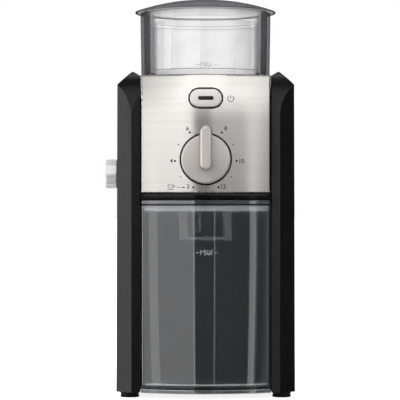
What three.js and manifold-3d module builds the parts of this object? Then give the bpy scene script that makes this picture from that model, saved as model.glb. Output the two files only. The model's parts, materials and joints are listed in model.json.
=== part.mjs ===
// Burr coffee grinder, free-standing, in millimetres, +Z up.
// While it is built, x = 0 is the middle plane, y = 0 the front crease of the side panels and z = 0 the
// counter. The finished group is moved so that its origin is the middle of its footprint.
import * as THREE from "three";
import { mergeVertices } from "three/addons/utils/BufferGeometryUtils.js";
import Module from "manifold-3d";

const wasm = await Module();
wasm.setup();

// Clearances
const weldDistance = 0.0001;
const fit = 0.35; // between neighbouring pieces
const seat = 0.2; // under a piece that stands on another
const running = 0.09; // round a turning shaft
const overrun = 1; // how far a cut runs past the faces that it opens

// Facets of a full turn
const wideSteps = 32;
const roundSteps = 24;
const smallSteps = 16;
const pinSteps = 8;

// Housing
const bodyWidth = 116;
const bodyDepth = 160;
const bodyDraft = 0.6; // how much narrower each side is at the shoulder
const creaseInset = 10; // from the outside of a side panel to its front crease
const outerFacetDepth = 7.7; // how far the facet outside the crease falls back
const innerFacetDepth = 2.9;
const panelWidth = 15.4; // of each side panel
const headHeight = 76.5; // from the steel's bottom edge to the deck
const ridgeRise = 3.7; // above the deck
const shoulderDrop = 6; // below the deck
const panelWall = 2.2;
const frontCornerRadius = 29;
const rearTopRadius = 16;
const rearCornerRadius = 12;
const sideWallDepth = 84; // how far back the wall between bay and side panel runs
const grooveDepth = 1.1; // lid groove across the inner facets
const grooveReach = 4.4;
const ribHeight = 2; // stiffening ribs inside the side panels
const ribReach = 5;
const ribLevelShares = [0.26, 0.5, 0.74];

// Front
const frontRadius = 95; // bow of the steel panel and of the container
const steelThickness = 0.8;
const steelBottom = 132.8;
const steelCornerRadius = 2;
const steelHem = 3; // width of the edge that is folded back over the top
const frameThickness = 2;
const lintelHeight = 4.1;
const bossRadius = 2.6; // posts that carry the control board

// Floors
const floorThickness = 3;
const deckThickness = 2.6;
const backWallFront = 72.2;
const backWallThickness = 2.2;
const railWidth = 3; // low rails that the container slides on
const railSpacing = 60;

// Feet
const footHeight = 3.9;
const footRadius = 6.2;
const footWaist = 5.7;
const footStemRadius = 2.6;
const footStemHeight = 3.2;
const footInset = 8.5; // from the outside of a side panel
const frontFootDepth = 14;
const rearFootInset = 20; // from the back of the side panels

// Rear cover
const rearBowRadius = 260;
const rearCoverThickness = 2.2;
const ventLength = 50;
const ventHeight = 3;
const ventPitch = 7;
const ventCount = 9;
const ventBottom = 40;
const cordHeight = 19;
const cordBore = 3.2;
const glandRadius = 6;
const glandFlange = 8.2;
const glandReach = 6;
const flangeThickness = 1.6;
const screwHeadRadius = 2.9;
const screwShankRadius = 1.3;
const screwLength = 8;
const screwHeadHeight = 1.6;
const screwInset = 9;

// Hopper
const axisDepth = 75; // burr and hopper axis behind the crease
const hopperTopRadius = 44.5;
const hopperBottomRadius = 43.8;
const hopperRise = 46.3; // above the deck
const hopperWall = 2.2;
const bowlRadius = 38.9; // inside of the inner bowl
const bowlWall = 1.6;
const bowlFloorRise = 6.5; // above the deck
const bowlDrop = 7.1; // below the hopper's top
const bowlFlange = 2; // thickness of the bowl's flange and of the ledge that holds it
const ledgeReach = 1.2;
const throatRadius = 12.3;
const throatTopDrop = 21.3; // below the deck
const throatRise = 3; // above the ring
const gasketHeight = 1.6;
const wellDepth = 1.4;
const wellWall = 1.6;
const wellCollar = 6;

// Hopper lid
const lidRadius = 48.2;
const lidRise = 8.9;
const lidWall = 1.5;
const skirtDepth = 5.4;
const skirtWall = 1.5;

// Ground-coffee container
const containerGap = 0.4; // between the container and a side panel
const containerDepth = 68;
const containerWall = 1.8;
const containerFloor = 1.8;
const containerLift = 0.4; // floor above the base plate
const containerTopDrop = 7.8; // below the steel
const containerCorner = 5;
const apronBottom = 3.5;
const apronHeight = 5.6;
const frameOuterWidth = 35.7; // raised rim round the notch in the back wall
const notchWidth = 24;
const notchHeight = 21.6; // below the container's top
const notchRim = 2.4;
const rimThickness = 1.2;
const lidTopDrop = 4.5; // below the steel
const lidPlate = 1.8;
const lidBand = 2.6;
const lidFlangeHeight = 7.3;
const lidFlangeWall = 1.4;

// Power button
const buttonDrop = 15.6; // middle of the button below the deck
const buttonLength = 20.8;
const buttonWidth = 11.7;
const buttonStand = 1.6; // in front of the steel
const buttonDepth = 6.8;
const buttonEdge = 0.8;
const buttonStemRadius = 2.4;
const buttonStemLength = 4;
const lensLength = 10.2;
const lensWidth = 2.6;
const lensDepth = 0.8;
const guideWall = 0.7;
const guideFlange = 2.4;
const guideLength = 8.4;

// Cup dial
const dialRise = 21.8; // middle of the dial above the steel's bottom edge
const dialRadius = 16.2;
const dialGap = 0.7; // dark ring round the disc
const dialThickness = 4.1;
const dialStand = 3.5; // in front of the steel
const dialEdge = 1;
const gripWidth = 7.4;
const gripTopReach = 21.1;
const gripBottomReach = 7.3;
const gripHeight = 12.4;
const gripEdge = 1.5;
const dialShaftRadius = 3;
const dialShaftLength = 11;
const dialBushWall = 2;

// Control board and what it carries
const boardFront = 13.2;
const boardThickness = 1.6;
const boardInset = 7.6; // from a side panel to the control board
const boardRise = 6.2; // above the steel's bottom edge
const boardDrop = 5.3; // below the deck
const timerSize = 20;
const timerDepth = 8.6;
const switchWidth = 12.8;
const switchHeight = 9.5;
const switchDepth = 5.6;
const plungerRadius = 1.7;
const plungerLength = 1.2;
const relayWidth = 15;
const relayHeight = 12;
const relayDepth = 9;

// Fineness knob and its shaft
const fineRise = 13.4; // above the steel's bottom edge
const knobRadius = 9.9;
const knobReach = 8.6;
const knobEdge = 0.9;
const knobScallopRadius = 3;
const knobScallopDepth = 1.1;
const knobScallopCount = 8;
const knobSlotWidth = 3.4;
const knobSlotDepth = 1.2;
const knobSlotShare = 0.42; // height of the slot above the middle, of the radius
const escutcheonRadius = 14;
const escutcheonThickness = 1;
const fineShaftRadius = 3;
const fineBushLength = 7;
const fineBushWall = 2.4;

// Gear teeth
const toothModule = 1;
const addendumShare = 0.8; // of the module
const dedendumShare = 1.15;
const toothTipShare = 0.24; // width at the tip, of the pitch
const toothRootShare = 0.6;

// Adjusting mechanism
const finePinionTeeth = 8;
const crownTeeth = 48; // of a full turn
const crownSectorTeeth = 16; // cut only beside the pinion
const crownPitchRadius = 37.8;
const crownInner = 35.7;
const crownOuter = 40.6;
const crownToothHeight = 1.9;
const crownMesh = 0.6; // free height under the crown teeth
const ringWall = 1.6;
const ringFlange = 2.4;
const ringTopRise = 25; // above the chamber's floor
const ringLip = 2;
const ringLugCount = 3;
const lugWidth = 7;
const lugHeight = 3;
const carrierRadius = 28.8;
const carrierNeck = 26;
const carrierRise = 18; // above the chamber's floor
const carrierPlate = 4;
const carrierCollar = 6;
const collarWall = 1.8;

// Burrs and grinding chamber
const chamberRadius = 33;
const chamberWall = 2.2;
const chamberRise = 12.2; // floor above the steel's bottom edge
const chamberHeight = 22.5;
const legRadius = 3.2;
const legCircle = 37.5;
const legCount = 3;
const legFlange = 3;
const chuteWidth = 20;
const chuteFront = 30.5; // in front of the burr axis
const chuteRear = 16.5;
const chuteWall = 2;
const burrRadius = 24;
const upperBurrBore = 12;
const lowerBurrBore = 9;
const burrHeight = 4.8;
const burrGap = 0.8;
const lowerBurrRise = 7.6; // above the chamber's floor
const breakerGrooves = 6; // wide grooves that crack the beans
const finishingGrooves = 12;
const breakerDepth = 1.9;
const finishingDepth = 0.9;
const breakerReachShare = 0.74; // of the burr's radius
const finishingStartShare = 0.7;
const grooveSkewShare = 0.28; // sideways throw of a groove, of the burr's radius
const impellerRadius = 29.6;
const impellerPlate = 2.2;
const paddleCount = 6;
const paddleWidth = 2.4;
const paddleInner = 20;
const hubRadius = 6.5;
const spindleRadius = 3.2;
const spindleReach = 2.1; // below the head floor
const nutHeight = 3.4;
const nutRadius = 5.4;
const bushRadius = 4.8;
const bushFlange = 6.4;
const bushBossWall = 1.6;
const bushFlangeHeight = 1;

// Gear train
const driveTeeth = 28;
const smallTeeth = 16;
const wheelTeeth = 31;
const pinionTeeth = 11;
const gearRise = 1.8; // above the steel's bottom edge
const driveGearHeight = 4.4;
const wheelRise = 5.6; // above the drive gear's bottom
const wheelHeight = 3.2;
const postRadius = 2;
const postReach = 4.2; // above the wheel's bottom
const gearHubWall = 2;

// Motor
const motorShaftRadius = 2.5;
const motorShaftRise = 3.9; // above the base plate
const coreRise = 31.8; // above the bottom bracket
const coreDrop = 24.4; // below the top bracket
const coreWidth = 68;
const coreDepth = 58;
const coreCorner = 7;
const windowWidth = 44;
const windowDepth = 46;
const boreRadius = 17.8;
const shoeRadius = 20.5;
const poleNeck = 18;
const shoeSpanShare = 0.56; // of a quarter turn, each way from the middle of a pole
const coilOuterWidth = 43;
const coilInnerWidth = 27;
const coilFront = 17.6;
const coilThickness = 5;
const coilOverhang = 6;
const coilCorner = 5;
const armatureRadius = 17.2;
const armatureSlots = 12;
const slotDepth = 6;
const slotWidth = 3;
const windingRadius = 15.4;
const windingHeight = 7.4;
const commutatorRadius = 9;
const commutatorRise = 11.3; // above the bottom bracket
const commutatorHeight = 12;
const commutatorBars = 12;
const barGap = 0.7;
const barGapDepth = 1.6;
const brushReach = 13;
const brushWidth = 8;
const brushHeight = 7;
const brushFoot = 6;
const bracketWidth = 68;
const bracketDepth = 20;
const bracketThickness = 3;
const bottomBracketRise = 11.1; // above the base plate
const topBracketDrop = 20.7; // below the head floor
const bracketBoss = 7;
const bossHeight = 5;
const pillarRadius = 4.6;
const pillarSpacing = 56;
const fanRadius = 22;
const fanDrop = 15; // below the top bracket
const fanHeight = 10;
const fanPlate = 1.4;
const fanBlades = 7;
const bladeWidth = 1.6;
const bladeSkewShare = 0.3; // sideways throw of a blade, of the fan's radius
const mountRadius = 9;
const mountWaist = 6.5;
const mountBore = 3.4;

// Safety interlock
const leverWidth = 5;
const leverHeight = 11.5;
const leverDrop = 16.2; // below the container's top
const leverOffset = -5.7; // middle of the lever, left of the middle plane
const leverFront = 66.8;
const leverLength = 12.4;
const leverTravel = 1.5;
const wingReach = 17;
const wingThickness = 1.8;
const wingHeight = 4.6;
const interlockWidth = 14;
const interlockHeight = 20;
const interlockDepth = 8;

// Places worked out from the sizes above
const deckHeight = steelBottom + headHeight;
const ridgeHeight = deckHeight + ridgeRise;
const shoulderHeight = deckHeight - shoulderDrop;
const hopperTop = deckHeight + hopperRise;
const bowlFloor = deckHeight + bowlFloorRise;
const bowlTop = hopperTop - bowlDrop;
const containerTop = steelBottom - containerTopDrop;
const notchBottom = containerTop - notchHeight;
const lidTop = steelBottom - lidTopDrop;
const lidFlangeBottom = lidTop - lidFlangeHeight;
const leverBottom = containerTop - leverDrop;
const boardBottom = steelBottom + boardRise;
const boardTop = deckHeight - boardDrop;
const fineHeight = steelBottom + fineRise;
const chamberFloor = steelBottom + chamberRise;
const chamberTop = chamberFloor + chamberHeight;
const ringTop = chamberFloor + ringTopRise;
const carrierBottom = chamberFloor + carrierRise;
const lowerBurrBottom = chamberFloor + lowerBurrRise;
const throatTop = deckHeight - throatTopDrop;
const throatBottom = ringTop + throatRise;
const gearLevel = steelBottom + gearRise;
const wheelLevel = gearLevel + wheelRise;
const postTop = wheelLevel + postReach;
const buttonHeight = deckHeight - buttonDrop;
const dialHeight = steelBottom + dialRise;
const rearFootDepth = bodyDepth - rearFootInset;
const bodyHalf = bodyWidth / 2;
const bayHalf = bodyHalf - panelWidth;
const boardHalf = bayHalf - boardInset;
const footHalf = bodyHalf - footInset;
const creaseHalf = bodyHalf - creaseInset;
const insideHalf = bayHalf - fit; // half width of what lies between the side panels
const bowCentre = innerFacetDepth + Math.sqrt(frontRadius ** 2 - bayHalf ** 2);
const frontApex = bowCentre - frontRadius;
const baseTop = footHeight + seat + floorThickness;
const containerBottom = baseTop + containerLift;
const headFloorTop = steelBottom - lintelHeight + seat * 2 + floorThickness;
const headFloorBottom = headFloorTop - floorThickness;
const spindleBottom = headFloorBottom - spindleReach;
const bottomBracketLevel = baseTop + bottomBracketRise;
const topBracketLevel = headFloorBottom - topBracketDrop;
const motorShaftBottom = baseTop + motorShaftRise;
const commutatorBottom = bottomBracketLevel + commutatorRise;
const coreBottom = bottomBracketLevel + coreRise;
const coreHeight = topBracketLevel - coreDrop - coreBottom;
const fanLevel = topBracketLevel - fanDrop;
const lintelBottom = steelBottom - lintelHeight;
const frameRadius = frontRadius - steelThickness - seat;
const frameInside = frameRadius - frameThickness;
const deckBottom = deckHeight - deckThickness;
const hopperFoot = deckHeight - wellDepth + gasketHeight + seat * 2;
const upperBurrBottom = lowerBurrBottom + burrHeight + burrGap;
const finePinionRadius = (crownPitchRadius * finePinionTeeth) / crownTeeth;
const crownToothTip = fineHeight + finePinionRadius - crownToothHeight / 2 + crownMesh / 2;
const crownFlangeBottom = crownToothTip + crownToothHeight;
const pitchOf = (teeth) => (teeth * toothModule) / 2;
const gearPostDepth = axisDepth + pitchOf(driveTeeth) + pitchOf(smallTeeth);
const motorDepth = gearPostDepth + pitchOf(wheelTeeth) + pitchOf(pinionTeeth);
const motorShaftTop = wheelLevel + wheelHeight + seat;
const lensFront = frontApex - buttonStand;

// Finishes
function finish(color, roughness, metalness, opacity = 1) {
  return new THREE.MeshStandardMaterial({ color, roughness, metalness, opacity, transparent: opacity < 1 });
}
const blackPlastic = finish(0x1b1b1d, 0.45, 0);
const glossBlack = finish(0x0b0b0c, 0.12, 0);
const brushedSteel = finish(0xc9c4be, 0.38, 0.9);
const satinSilver = finish(0xcdc3bc, 0.42, 0.6);
const clearPlastic = finish(0xe8e8ec, 0.08, 0, 0.3);
const smokePlastic = finish(0x2c2e32, 0.1, 0, 0.55);
const lidPlastic = finish(0x77767b, 0.1, 0, 0.6);
const darkLens = finish(0x2a292b, 0.2, 0);
const rubber = finish(0x161616, 0.8, 0);
const whiteNylon = finish(0xdedbd0, 0.5, 0);
const burrSteel = finish(0x9a9a9c, 0.35, 0.9);
const zincSteel = finish(0xb0b0ae, 0.4, 0.85);
const bronze = finish(0x9b7042, 0.45, 0.8);
const copper = finish(0xa35a34, 0.4, 0.8);
const boardGreen = finish(0x2c5a3a, 0.5, 0);

// Closed geometry as a solid that can be joined and cut, faces turned out and collapsed faces left out
function solidFrom(geometry) {
  const bare = geometry.clone();
  bare.deleteAttribute("normal");
  bare.deleteAttribute("uv");
  const merged = mergeVertices(bare, weldDistance);
  const corners = Array.from(merged.index.array);
  const build = (inward) => {
    const faces = [];
    for (let i = 0; i < corners.length; i += 3) {
      const [a, b, c] = corners.slice(i, i + 3);
      if (a !== b && b !== c && c !== a) faces.push(a, inward ? c : b, inward ? b : c);
    }
    return new wasm.Manifold(
      new wasm.Mesh({
        numProp: 3,
        vertProperties: merged.attributes.position.array,
        triVerts: new Uint32Array(faces),
      }),
    );
  };
  const made = build(false);
  return made.volume() < 0 ? build(true) : made;
}

function join(solids) {
  return solids.reduce((whole, next) => whole.add(next));
}

function cut(solid, ...cutters) {
  return cutters.flat().reduce((left, cutter) => left.subtract(cutter), solid);
}

// Outlines, as lists of points
const quarter = Math.PI / 2;
const at = (u, v) => new THREE.Vector2(u, v);
const range = (count) => Array.from({ length: count }, (_, i) => i);
const over = (start, length) => [start, start + length];
const wide = (width) => [-width / 2, width / 2];

function arc(u, v, radius, start, end, steps) {
  return range(steps + 1).map((i) => {
    const angle = start + ((end - start) * i) / steps;
    return at(u + radius * Math.cos(angle), v + radius * Math.sin(angle));
  });
}

function circle(u, v, radius, steps = smallSteps) {
  return arc(u, v, radius, 0, 4 * quarter, steps).slice(1);
}

function rectangle([u0, u1], [v0, v1]) {
  return [at(u0, v0), at(u1, v0), at(u1, v1), at(u0, v1)];
}

function roundedRectangle([u0, u1], [v0, v1], radius, steps = 4) {
  const middles = [
    [u1 - radius, v1 - radius],
    [u0 + radius, v1 - radius],
    [u0 + radius, v0 + radius],
    [u1 - radius, v0 + radius],
  ];
  return middles.flatMap(([u, v], i) => arc(u, v, radius, i * quarter, (i + 1) * quarter, steps));
}

function stadium(u, v, length, width, steps = 5) {
  const half = (length - width) / 2;
  const right = arc(u + half, v, width / 2, -quarter, quarter, steps);
  const left = arc(u - half, v, width / 2, quarter, 3 * quarter, steps);
  return [...right, ...left];
}

const mirrored = (points, side) => points.map((p) => at(p.x * side, p.y));

// An outline across the named axis, pushed along it; an edge rounds both ends
const axes = {
  x: new THREE.Vector3(1, 0, 0),
  y: new THREE.Vector3(0, 1, 0),
  z: new THREE.Vector3(0, 0, 1),
};
const prismFrames = {
  x: new THREE.Matrix4().makeBasis(axes.y, axes.z, axes.x),
  y: new THREE.Matrix4().makeBasis(axes.x, axes.z, axes.y.clone().negate()),
  z: new THREE.Matrix4(),
};

function prism(axis, points, [from, to], { holes = [], edge = 0, edgeSteps = 3 } = {}) {
  const shape = new THREE.Shape(points);
  shape.holes = holes.map((hole) => new THREE.Path(hole));
  const geometry = new THREE.ExtrudeGeometry(shape, {
    depth: to - from - 2 * edge,
    bevelEnabled: edge > 0,
    bevelThickness: edge,
    bevelSize: edge,
    bevelOffset: -edge,
    bevelSegments: edgeSteps,
  });
  geometry.translate(0, 0, axis === "y" ? edge - to : from + edge);
  return solidFrom(geometry.applyMatrix4(prismFrames[axis]));
}

function block(xs, ys, [z0, z1]) {
  return prism("z", rectangle(xs, ys), [z0, z1]);
}

// A profile of [radius, place] points turned about the named axis; it ends on the axis or closes itself
const turnFrames = {
  x: new THREE.Matrix4().makeBasis(axes.z, axes.x, axes.y),
  y: new THREE.Matrix4(),
  z: new THREE.Matrix4().makeBasis(axes.x, axes.z, axes.y.clone().negate()),
};

function turned(axis, profile, steps = smallSteps) {
  const points = profile.map(([radius, place]) => at(radius, place));
  const onAxis = points[0].x === 0 && points[points.length - 1].x === 0;
  if (!onAxis) points.push(points[0].clone());
  return solidFrom(new THREE.LatheGeometry(points, steps).applyMatrix4(turnFrames[axis]));
}

function rod(axis, radius, [from, to], [u, v] = [0, 0], steps = smallSteps) {
  return prism(axis, circle(u, v, radius, steps), [from, to]);
}

function tube(axis, outer, inner, [from, to], [u, v] = [0, 0], steps = smallSteps) {
  return prism(axis, circle(u, v, outer, steps), [from, to], { holes: [circle(u, v, inner, steps)] });
}

// Copies of one solid's recipe, turned about z
function around(count, make, start = 0) {
  return range(count).map((i) => make(start + (4 * quarter * i) / count));
}

function turnedPoints(points, angle) {
  return points.map((p) => p.clone().rotateAround(at(0, 0), angle));
}

// A toothed outline: root and tip points for each tooth, the first tooth centred on the start angle
function gearOutline(teeth, pitchRadius, start = 0) {
  const size = (2 * pitchRadius) / teeth;
  const half = (4 * quarter) / teeth / 2;
  const levels = [
    [pitchRadius - dedendumShare * size, -toothRootShare],
    [pitchRadius + addendumShare * size, -toothTipShare],
    [pitchRadius + addendumShare * size, toothTipShare],
    [pitchRadius - dedendumShare * size, toothRootShare],
  ];
  return range(teeth).flatMap((i) =>
    levels.map(([radius, share]) => {
      const angle = start + 2 * half * i + half * share;
      return at(radius * Math.cos(angle), radius * Math.sin(angle));
    }),
  );
}

// Depth of the bowed front at a given distance from the middle plane
const bowDepth = (radius, x) => bowCentre - Math.sqrt(radius ** 2 - x ** 2);

function bowLine(radius, half, steps = 8) {
  return range(steps + 1).map((i) => {
    const x = half * ((2 * i) / steps - 1);
    return at(x, bowDepth(radius, x));
  });
}

function bowedStrip(outerRadius, innerRadius, half) {
  return [...bowLine(outerRadius, half), ...bowLine(innerRadius, half).reverse()];
}

// The back bows out too, less than the front
const rearCentre = bodyDepth - Math.sqrt(rearBowRadius ** 2 - bayHalf ** 2);
const rearFace = (x) => rearCentre + Math.sqrt(rearBowRadius ** 2 - x ** 2);

function rearLine(radius, steps = 6) {
  return range(steps + 1).map((i) => {
    const x = insideHalf * ((2 * i) / steps - 1);
    return at(x, rearCentre + Math.sqrt(radius ** 2 - x ** 2));
  });
}

// Plan of a floor or deck that reaches from the bowed front to the rear cover
function floorPlan(radius) {
  return [...bowLine(radius, insideHalf), ...rearLine(rearBowRadius - rearCoverThickness - fit).reverse()];
}

// Plan with a bowed front, straight sides and a straight back with rounded corners
function bowedPlan(radius, half, back, corner) {
  const front = bowLine(radius, half);
  const right = arc(half - corner, back - corner, corner, 0, quarter, 4);
  const left = arc(corner - half, back - corner, corner, quarter, 2 * quarter, 4);
  return [...front, ...right, ...left];
}

// Scene graph
const machine = new THREE.Group();

function group(x, y, z) {
  const made = new THREE.Group();
  made.position.set(x, y, z);
  machine.add(made);
  return made;
}

function piece(parent, name, solid, material) {
  const { vertProperties, triVerts } = solid.getMesh();
  const geometry = new THREE.BufferGeometry();
  geometry.setAttribute("position", new THREE.BufferAttribute(vertProperties, 3));
  geometry.setIndex(new THREE.BufferAttribute(triVerts, 1));
  geometry.computeVertexNormals();
  const mesh = new THREE.Mesh(geometry, material.clone());
  mesh.name = name;
  parent.add(mesh);
}

// Side panels: a plan, a front view and a side view that cut one another, hollowed by the same form inset
const facetRun = bodyHalf - creaseHalf;
const innerRun = creaseHalf - bayHalf;

function sidePanelForm(side, inset) {
  const half = bodyHalf - inset;
  const inner = bayHalf + inset;
  const front = (inset * Math.hypot(facetRun, outerFacetDepth)) / facetRun;
  const drop = (inset * Math.hypot(facetRun, ridgeHeight - shoulderHeight)) / facetRun;
  const outerShare = (half - creaseHalf) / facetRun;
  const innerShare = (creaseHalf - inner) / innerRun;
  const top = ridgeHeight - drop;
  const rearCorner = [bodyHalf - rearCornerRadius, bodyDepth - rearCornerRadius];
  const rearTop = [bodyDepth - rearTopRadius, ridgeHeight - rearTopRadius];
  const frontTop = [frontCornerRadius, ridgeHeight - frontCornerRadius];
  const plan = [
    at(inner, innerFacetDepth * innerShare + front),
    at(creaseHalf, front),
    at(half, outerFacetDepth * outerShare + front),
    ...arc(...rearCorner, rearCornerRadius - inset, 0, quarter, 5),
    at(inner, bodyDepth - inset),
  ];
  const frontView = [
    at(inner, footHeight + inset),
    at(half, footHeight + inset),
    at(half - bodyDraft, top - (ridgeHeight - shoulderHeight) * outerShare),
    at(creaseHalf, top),
    at(inner, top - (ridgeHeight - deckHeight) * innerShare),
  ];
  const sideView = [
    at(-overrun, footHeight - overrun),
    at(bodyDepth + overrun, footHeight - overrun),
    at(bodyDepth + overrun, ridgeHeight - rearTopRadius),
    ...arc(...rearTop, rearTopRadius - inset, 0, quarter, 4),
    ...arc(...frontTop, frontCornerRadius - inset, quarter, 2 * quarter, 7),
    at(-overrun, ridgeHeight - frontCornerRadius),
  ];
  const reach = bodyHalf + overrun;
  return prism("z", mirrored(plan, side), [0, ridgeHeight + overrun])
    .intersect(prism("y", mirrored(frontView, side), [-overrun, bodyDepth + overrun]))
    .intersect(prism("x", sideView, [-reach, reach]));
}

function sidePanel(side) {
  const span = (a, b) => [Math.min(a * side, b * side), Math.max(a * side, b * side)];
  const ribs = ribLevelShares.map((share) =>
    block(
      span(bodyHalf - panelWall - ribReach, bodyHalf - panelWall / 2 - bodyDraft),
      [sideWallDepth, bodyDepth - rearCornerRadius],
      [share * deckHeight, share * deckHeight + ribHeight],
    ),
  );
  const opening = block(
    span(bayHalf - overrun, bayHalf + panelWall + overrun),
    [sideWallDepth, bodyDepth - panelWall * 2],
    [footHeight + panelWall * 2, deckBottom - wellCollar],
  );
  const groovePlan = [
    at(bayHalf - overrun, -overrun),
    at(bayHalf + grooveReach, -overrun),
    at(bayHalf + grooveReach, innerFacetDepth * (1 - grooveReach / innerRun) + grooveDepth),
    at(bayHalf, innerFacetDepth + grooveDepth),
    at(bayHalf - overrun, innerFacetDepth + grooveDepth),
  ];
  const groove = prism("z", mirrored(groovePlan, side), [containerTop, lintelBottom]);
  const footHoles = [frontFootDepth, rearFootDepth].map((depth) =>
    rod("z", footStemRadius + fit, [0, footHeight + panelWall * 2], [side * footHalf, depth]),
  );
  const well = rod(
    "z",
    hopperBottomRadius + fit,
    [deckHeight - wellDepth, ridgeHeight + overrun],
    [0, axisDepth],
    wideSteps,
  );
  const hollow = sidePanelForm(side, panelWall).subtract(join(ribs));
  return cut(sidePanelForm(side, 0), hollow, opening, groove, well, footHoles);
}

// The left panel also carries the fineness shaft in a bush on its outer wall
function leftPanel() {
  const shaft = [axisDepth, fineHeight];
  const wallInside = panelWall + bodyDraft - bodyHalf;
  const bushSpan = [wallInside - panelWall / 2, wallInside + fineBushLength];
  const bush = rod("x", fineShaftRadius + fineBushWall, bushSpan, shaft);
  const bore = rod("x", fineShaftRadius + running, [-bodyHalf - overrun, -bayHalf + overrun], shaft);
  return cut(sidePanel(-1).add(bush), bore);
}

function buildHousing() {
  const parent = group(0, 0, 0);
  piece(parent, "side_panel_left", leftPanel(), blackPlastic);
  piece(parent, "side_panel_right", sidePanel(1), blackPlastic);
  piece(parent, "front_panel", frontPanel(), brushedSteel);
  piece(parent, "front_frame", frontFrame(), glossBlack);
  piece(parent, "top_deck", topDeck(), blackPlastic);
  piece(parent, "head_floor", headFloor(), blackPlastic);
  piece(parent, "bay_back_wall", bayBackWall(), blackPlastic);
  piece(parent, "base_plate", basePlate(), blackPlastic);
  piece(parent, "rear_cover", rearCover(), blackPlastic);
  piece(parent, "cord_gland", cordGland(), rubber);
  for (const [place, depth] of [["front", frontFootDepth], ["rear", rearFootDepth]])
    for (const [hand, side] of [["left", -1], ["right", 1]])
      piece(group(side * footHalf, depth, 0), `foot_${place}_${hand}`, foot(), rubber);
  for (const [hand, side] of [["left", -1], ["right", 1]]) {
    const x = side * (insideHalf - screwInset);
    const z = deckHeight - screwInset * 2;
    const y = rearFace(Math.abs(x) - screwHeadRadius);
    piece(group(x, y, z), `cover_screw_${hand}`, coverScrew(), zincSteel);
  }
}

// Steel skin: a bowed sheet with its top edge folded back, a stadium hole and a round hole
const buttonHole = (grow) => stadium(0, buttonHeight, buttonLength + grow, buttonWidth + grow);

function frontPanel() {
  const sheet = prism("z", bowedStrip(frontRadius, frontRadius - steelThickness, insideHalf), [
    steelBottom,
    deckHeight,
  ]);
  const hem = prism("z", bowedStrip(frontRadius, frontRadius - steelHem, insideHalf), [
    deckHeight - steelThickness,
    deckHeight,
  ]);
  const outline = roundedRectangle([-insideHalf, insideHalf], [steelBottom, deckHeight], steelCornerRadius);
  const through = [frontApex - overrun, bowCentre];
  return cut(
    sheet.add(hem).intersect(prism("y", outline, through)),
    prism("y", buttonHole(2 * (fit + guideWall + fit)), through),
    rod("y", dialRadius + dialGap, through, [0, dialHeight], roundSteps),
  );
}

// Moulding behind the steel, with the lintel above the container and four posts for the control board
function frontFrame() {
  const half = insideHalf;
  const backing = prism("z", bowedStrip(frameRadius, frameInside, half), [
    lintelBottom,
    deckHeight - steelThickness - seat,
  ]);
  const lintel = prism("z", bowedStrip(frontRadius, frameInside, half), [lintelBottom, steelBottom - seat]);
  const postX = boardHalf - bossRadius * 1.5;
  const postRow = [boardBottom + bossRadius * 1.5, boardTop - bossRadius * 1.5];
  const postStart = (x) => bowDepth(frameInside, x) - frameThickness / 2;
  const posts = [-postX, postX].flatMap((x) =>
    postRow.map((z) => rod("y", bossRadius, [postStart(x), boardFront - seat], [x, z], pinSteps)),
  );
  const through = [frontApex, boardFront];
  return cut(
    join([backing, lintel, ...posts]),
    prism("y", buttonHole(4 * fit + 2 * guideWall), through),
    rod("y", dialShaftRadius + fit, through, [0, dialHeight]),
  );
}

// Deck with the well that the hopper stands in
function topDeck() {
  const plate = prism("z", floorPlan(frontRadius - steelHem - fit), [deckBottom, deckHeight]);
  const wellRadius = hopperBottomRadius + fit;
  const centre = [0, axisDepth];
  const collar = rod("z", wellRadius + wellWall, [deckBottom - wellCollar, deckHeight], centre, wideSteps);
  const limits = block([-insideHalf, insideHalf], [0, bodyDepth], [0, deckHeight]);
  const ledgeRadius = hopperBottomRadius - hopperWall - fit * 2;
  return cut(
    plate.add(collar.intersect(limits)),
    rod("z", wellRadius, [deckHeight - wellDepth, deckHeight + overrun], centre, wideSteps),
    rod("z", ledgeRadius, [0, deckHeight], centre, wideSteps),
  );
}

// Floor of the head: carries the grinding chamber, the spindle's bush and the gear post
function headFloor() {
  const plate = prism("z", floorPlan(frameInside - fit), [headFloorBottom, headFloorTop]);
  const bossSpan = [headFloorBottom - panelWall, headFloorTop];
  const boss = rod("z", bushRadius + bushBossWall, bossSpan, [0, axisDepth]);
  const ribs = [-1, 1].map((side) => {
    const inner = side * (insideHalf - panelWall);
    const xs = [Math.min(inner, side * insideHalf), Math.max(inner, side * insideHalf)];
    const ys = [sideWallDepth, bodyDepth - rearCornerRadius];
    return block(xs, ys, [headFloorTop - overrun, headFloorTop + ribReach]);
  });
  const levels = [headFloorBottom - panelWall - overrun, headFloorTop + overrun];
  const chuteHalf = chuteWidth / 2 + fit;
  const chuteDepths = [axisDepth - chuteFront - fit, axisDepth - chuteRear + fit];
  return cut(
    join([plate, boss, ...ribs]),
    block([-chuteHalf, chuteHalf], chuteDepths, levels),
    rod("z", bushRadius + running, levels, [0, axisDepth]),
    rod("z", postRadius + running, levels, [0, gearPostDepth]),
    rod("z", motorShaftRadius + fit * 2, levels, [0, motorDepth]),
  );
}

function bayBackWall() {
  const wall = block(
    [-insideHalf, insideHalf],
    [backWallFront, backWallFront + backWallThickness],
    [baseTop + seat, headFloorBottom - seat],
  );
  const half = leverWidth / 2 + fit;
  const slot = block(
    [leverOffset - half, leverOffset + half],
    [0, bodyDepth],
    [leverBottom - fit, leverBottom + leverHeight + fit],
  );
  const bossSpan = [headFloorBottom - panelWall - fit, deckHeight];
  const bossClearance = rod("z", bushRadius + bushBossWall + fit, bossSpan, [0, axisDepth]);
  return cut(wall, slot, bossClearance);
}

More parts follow.
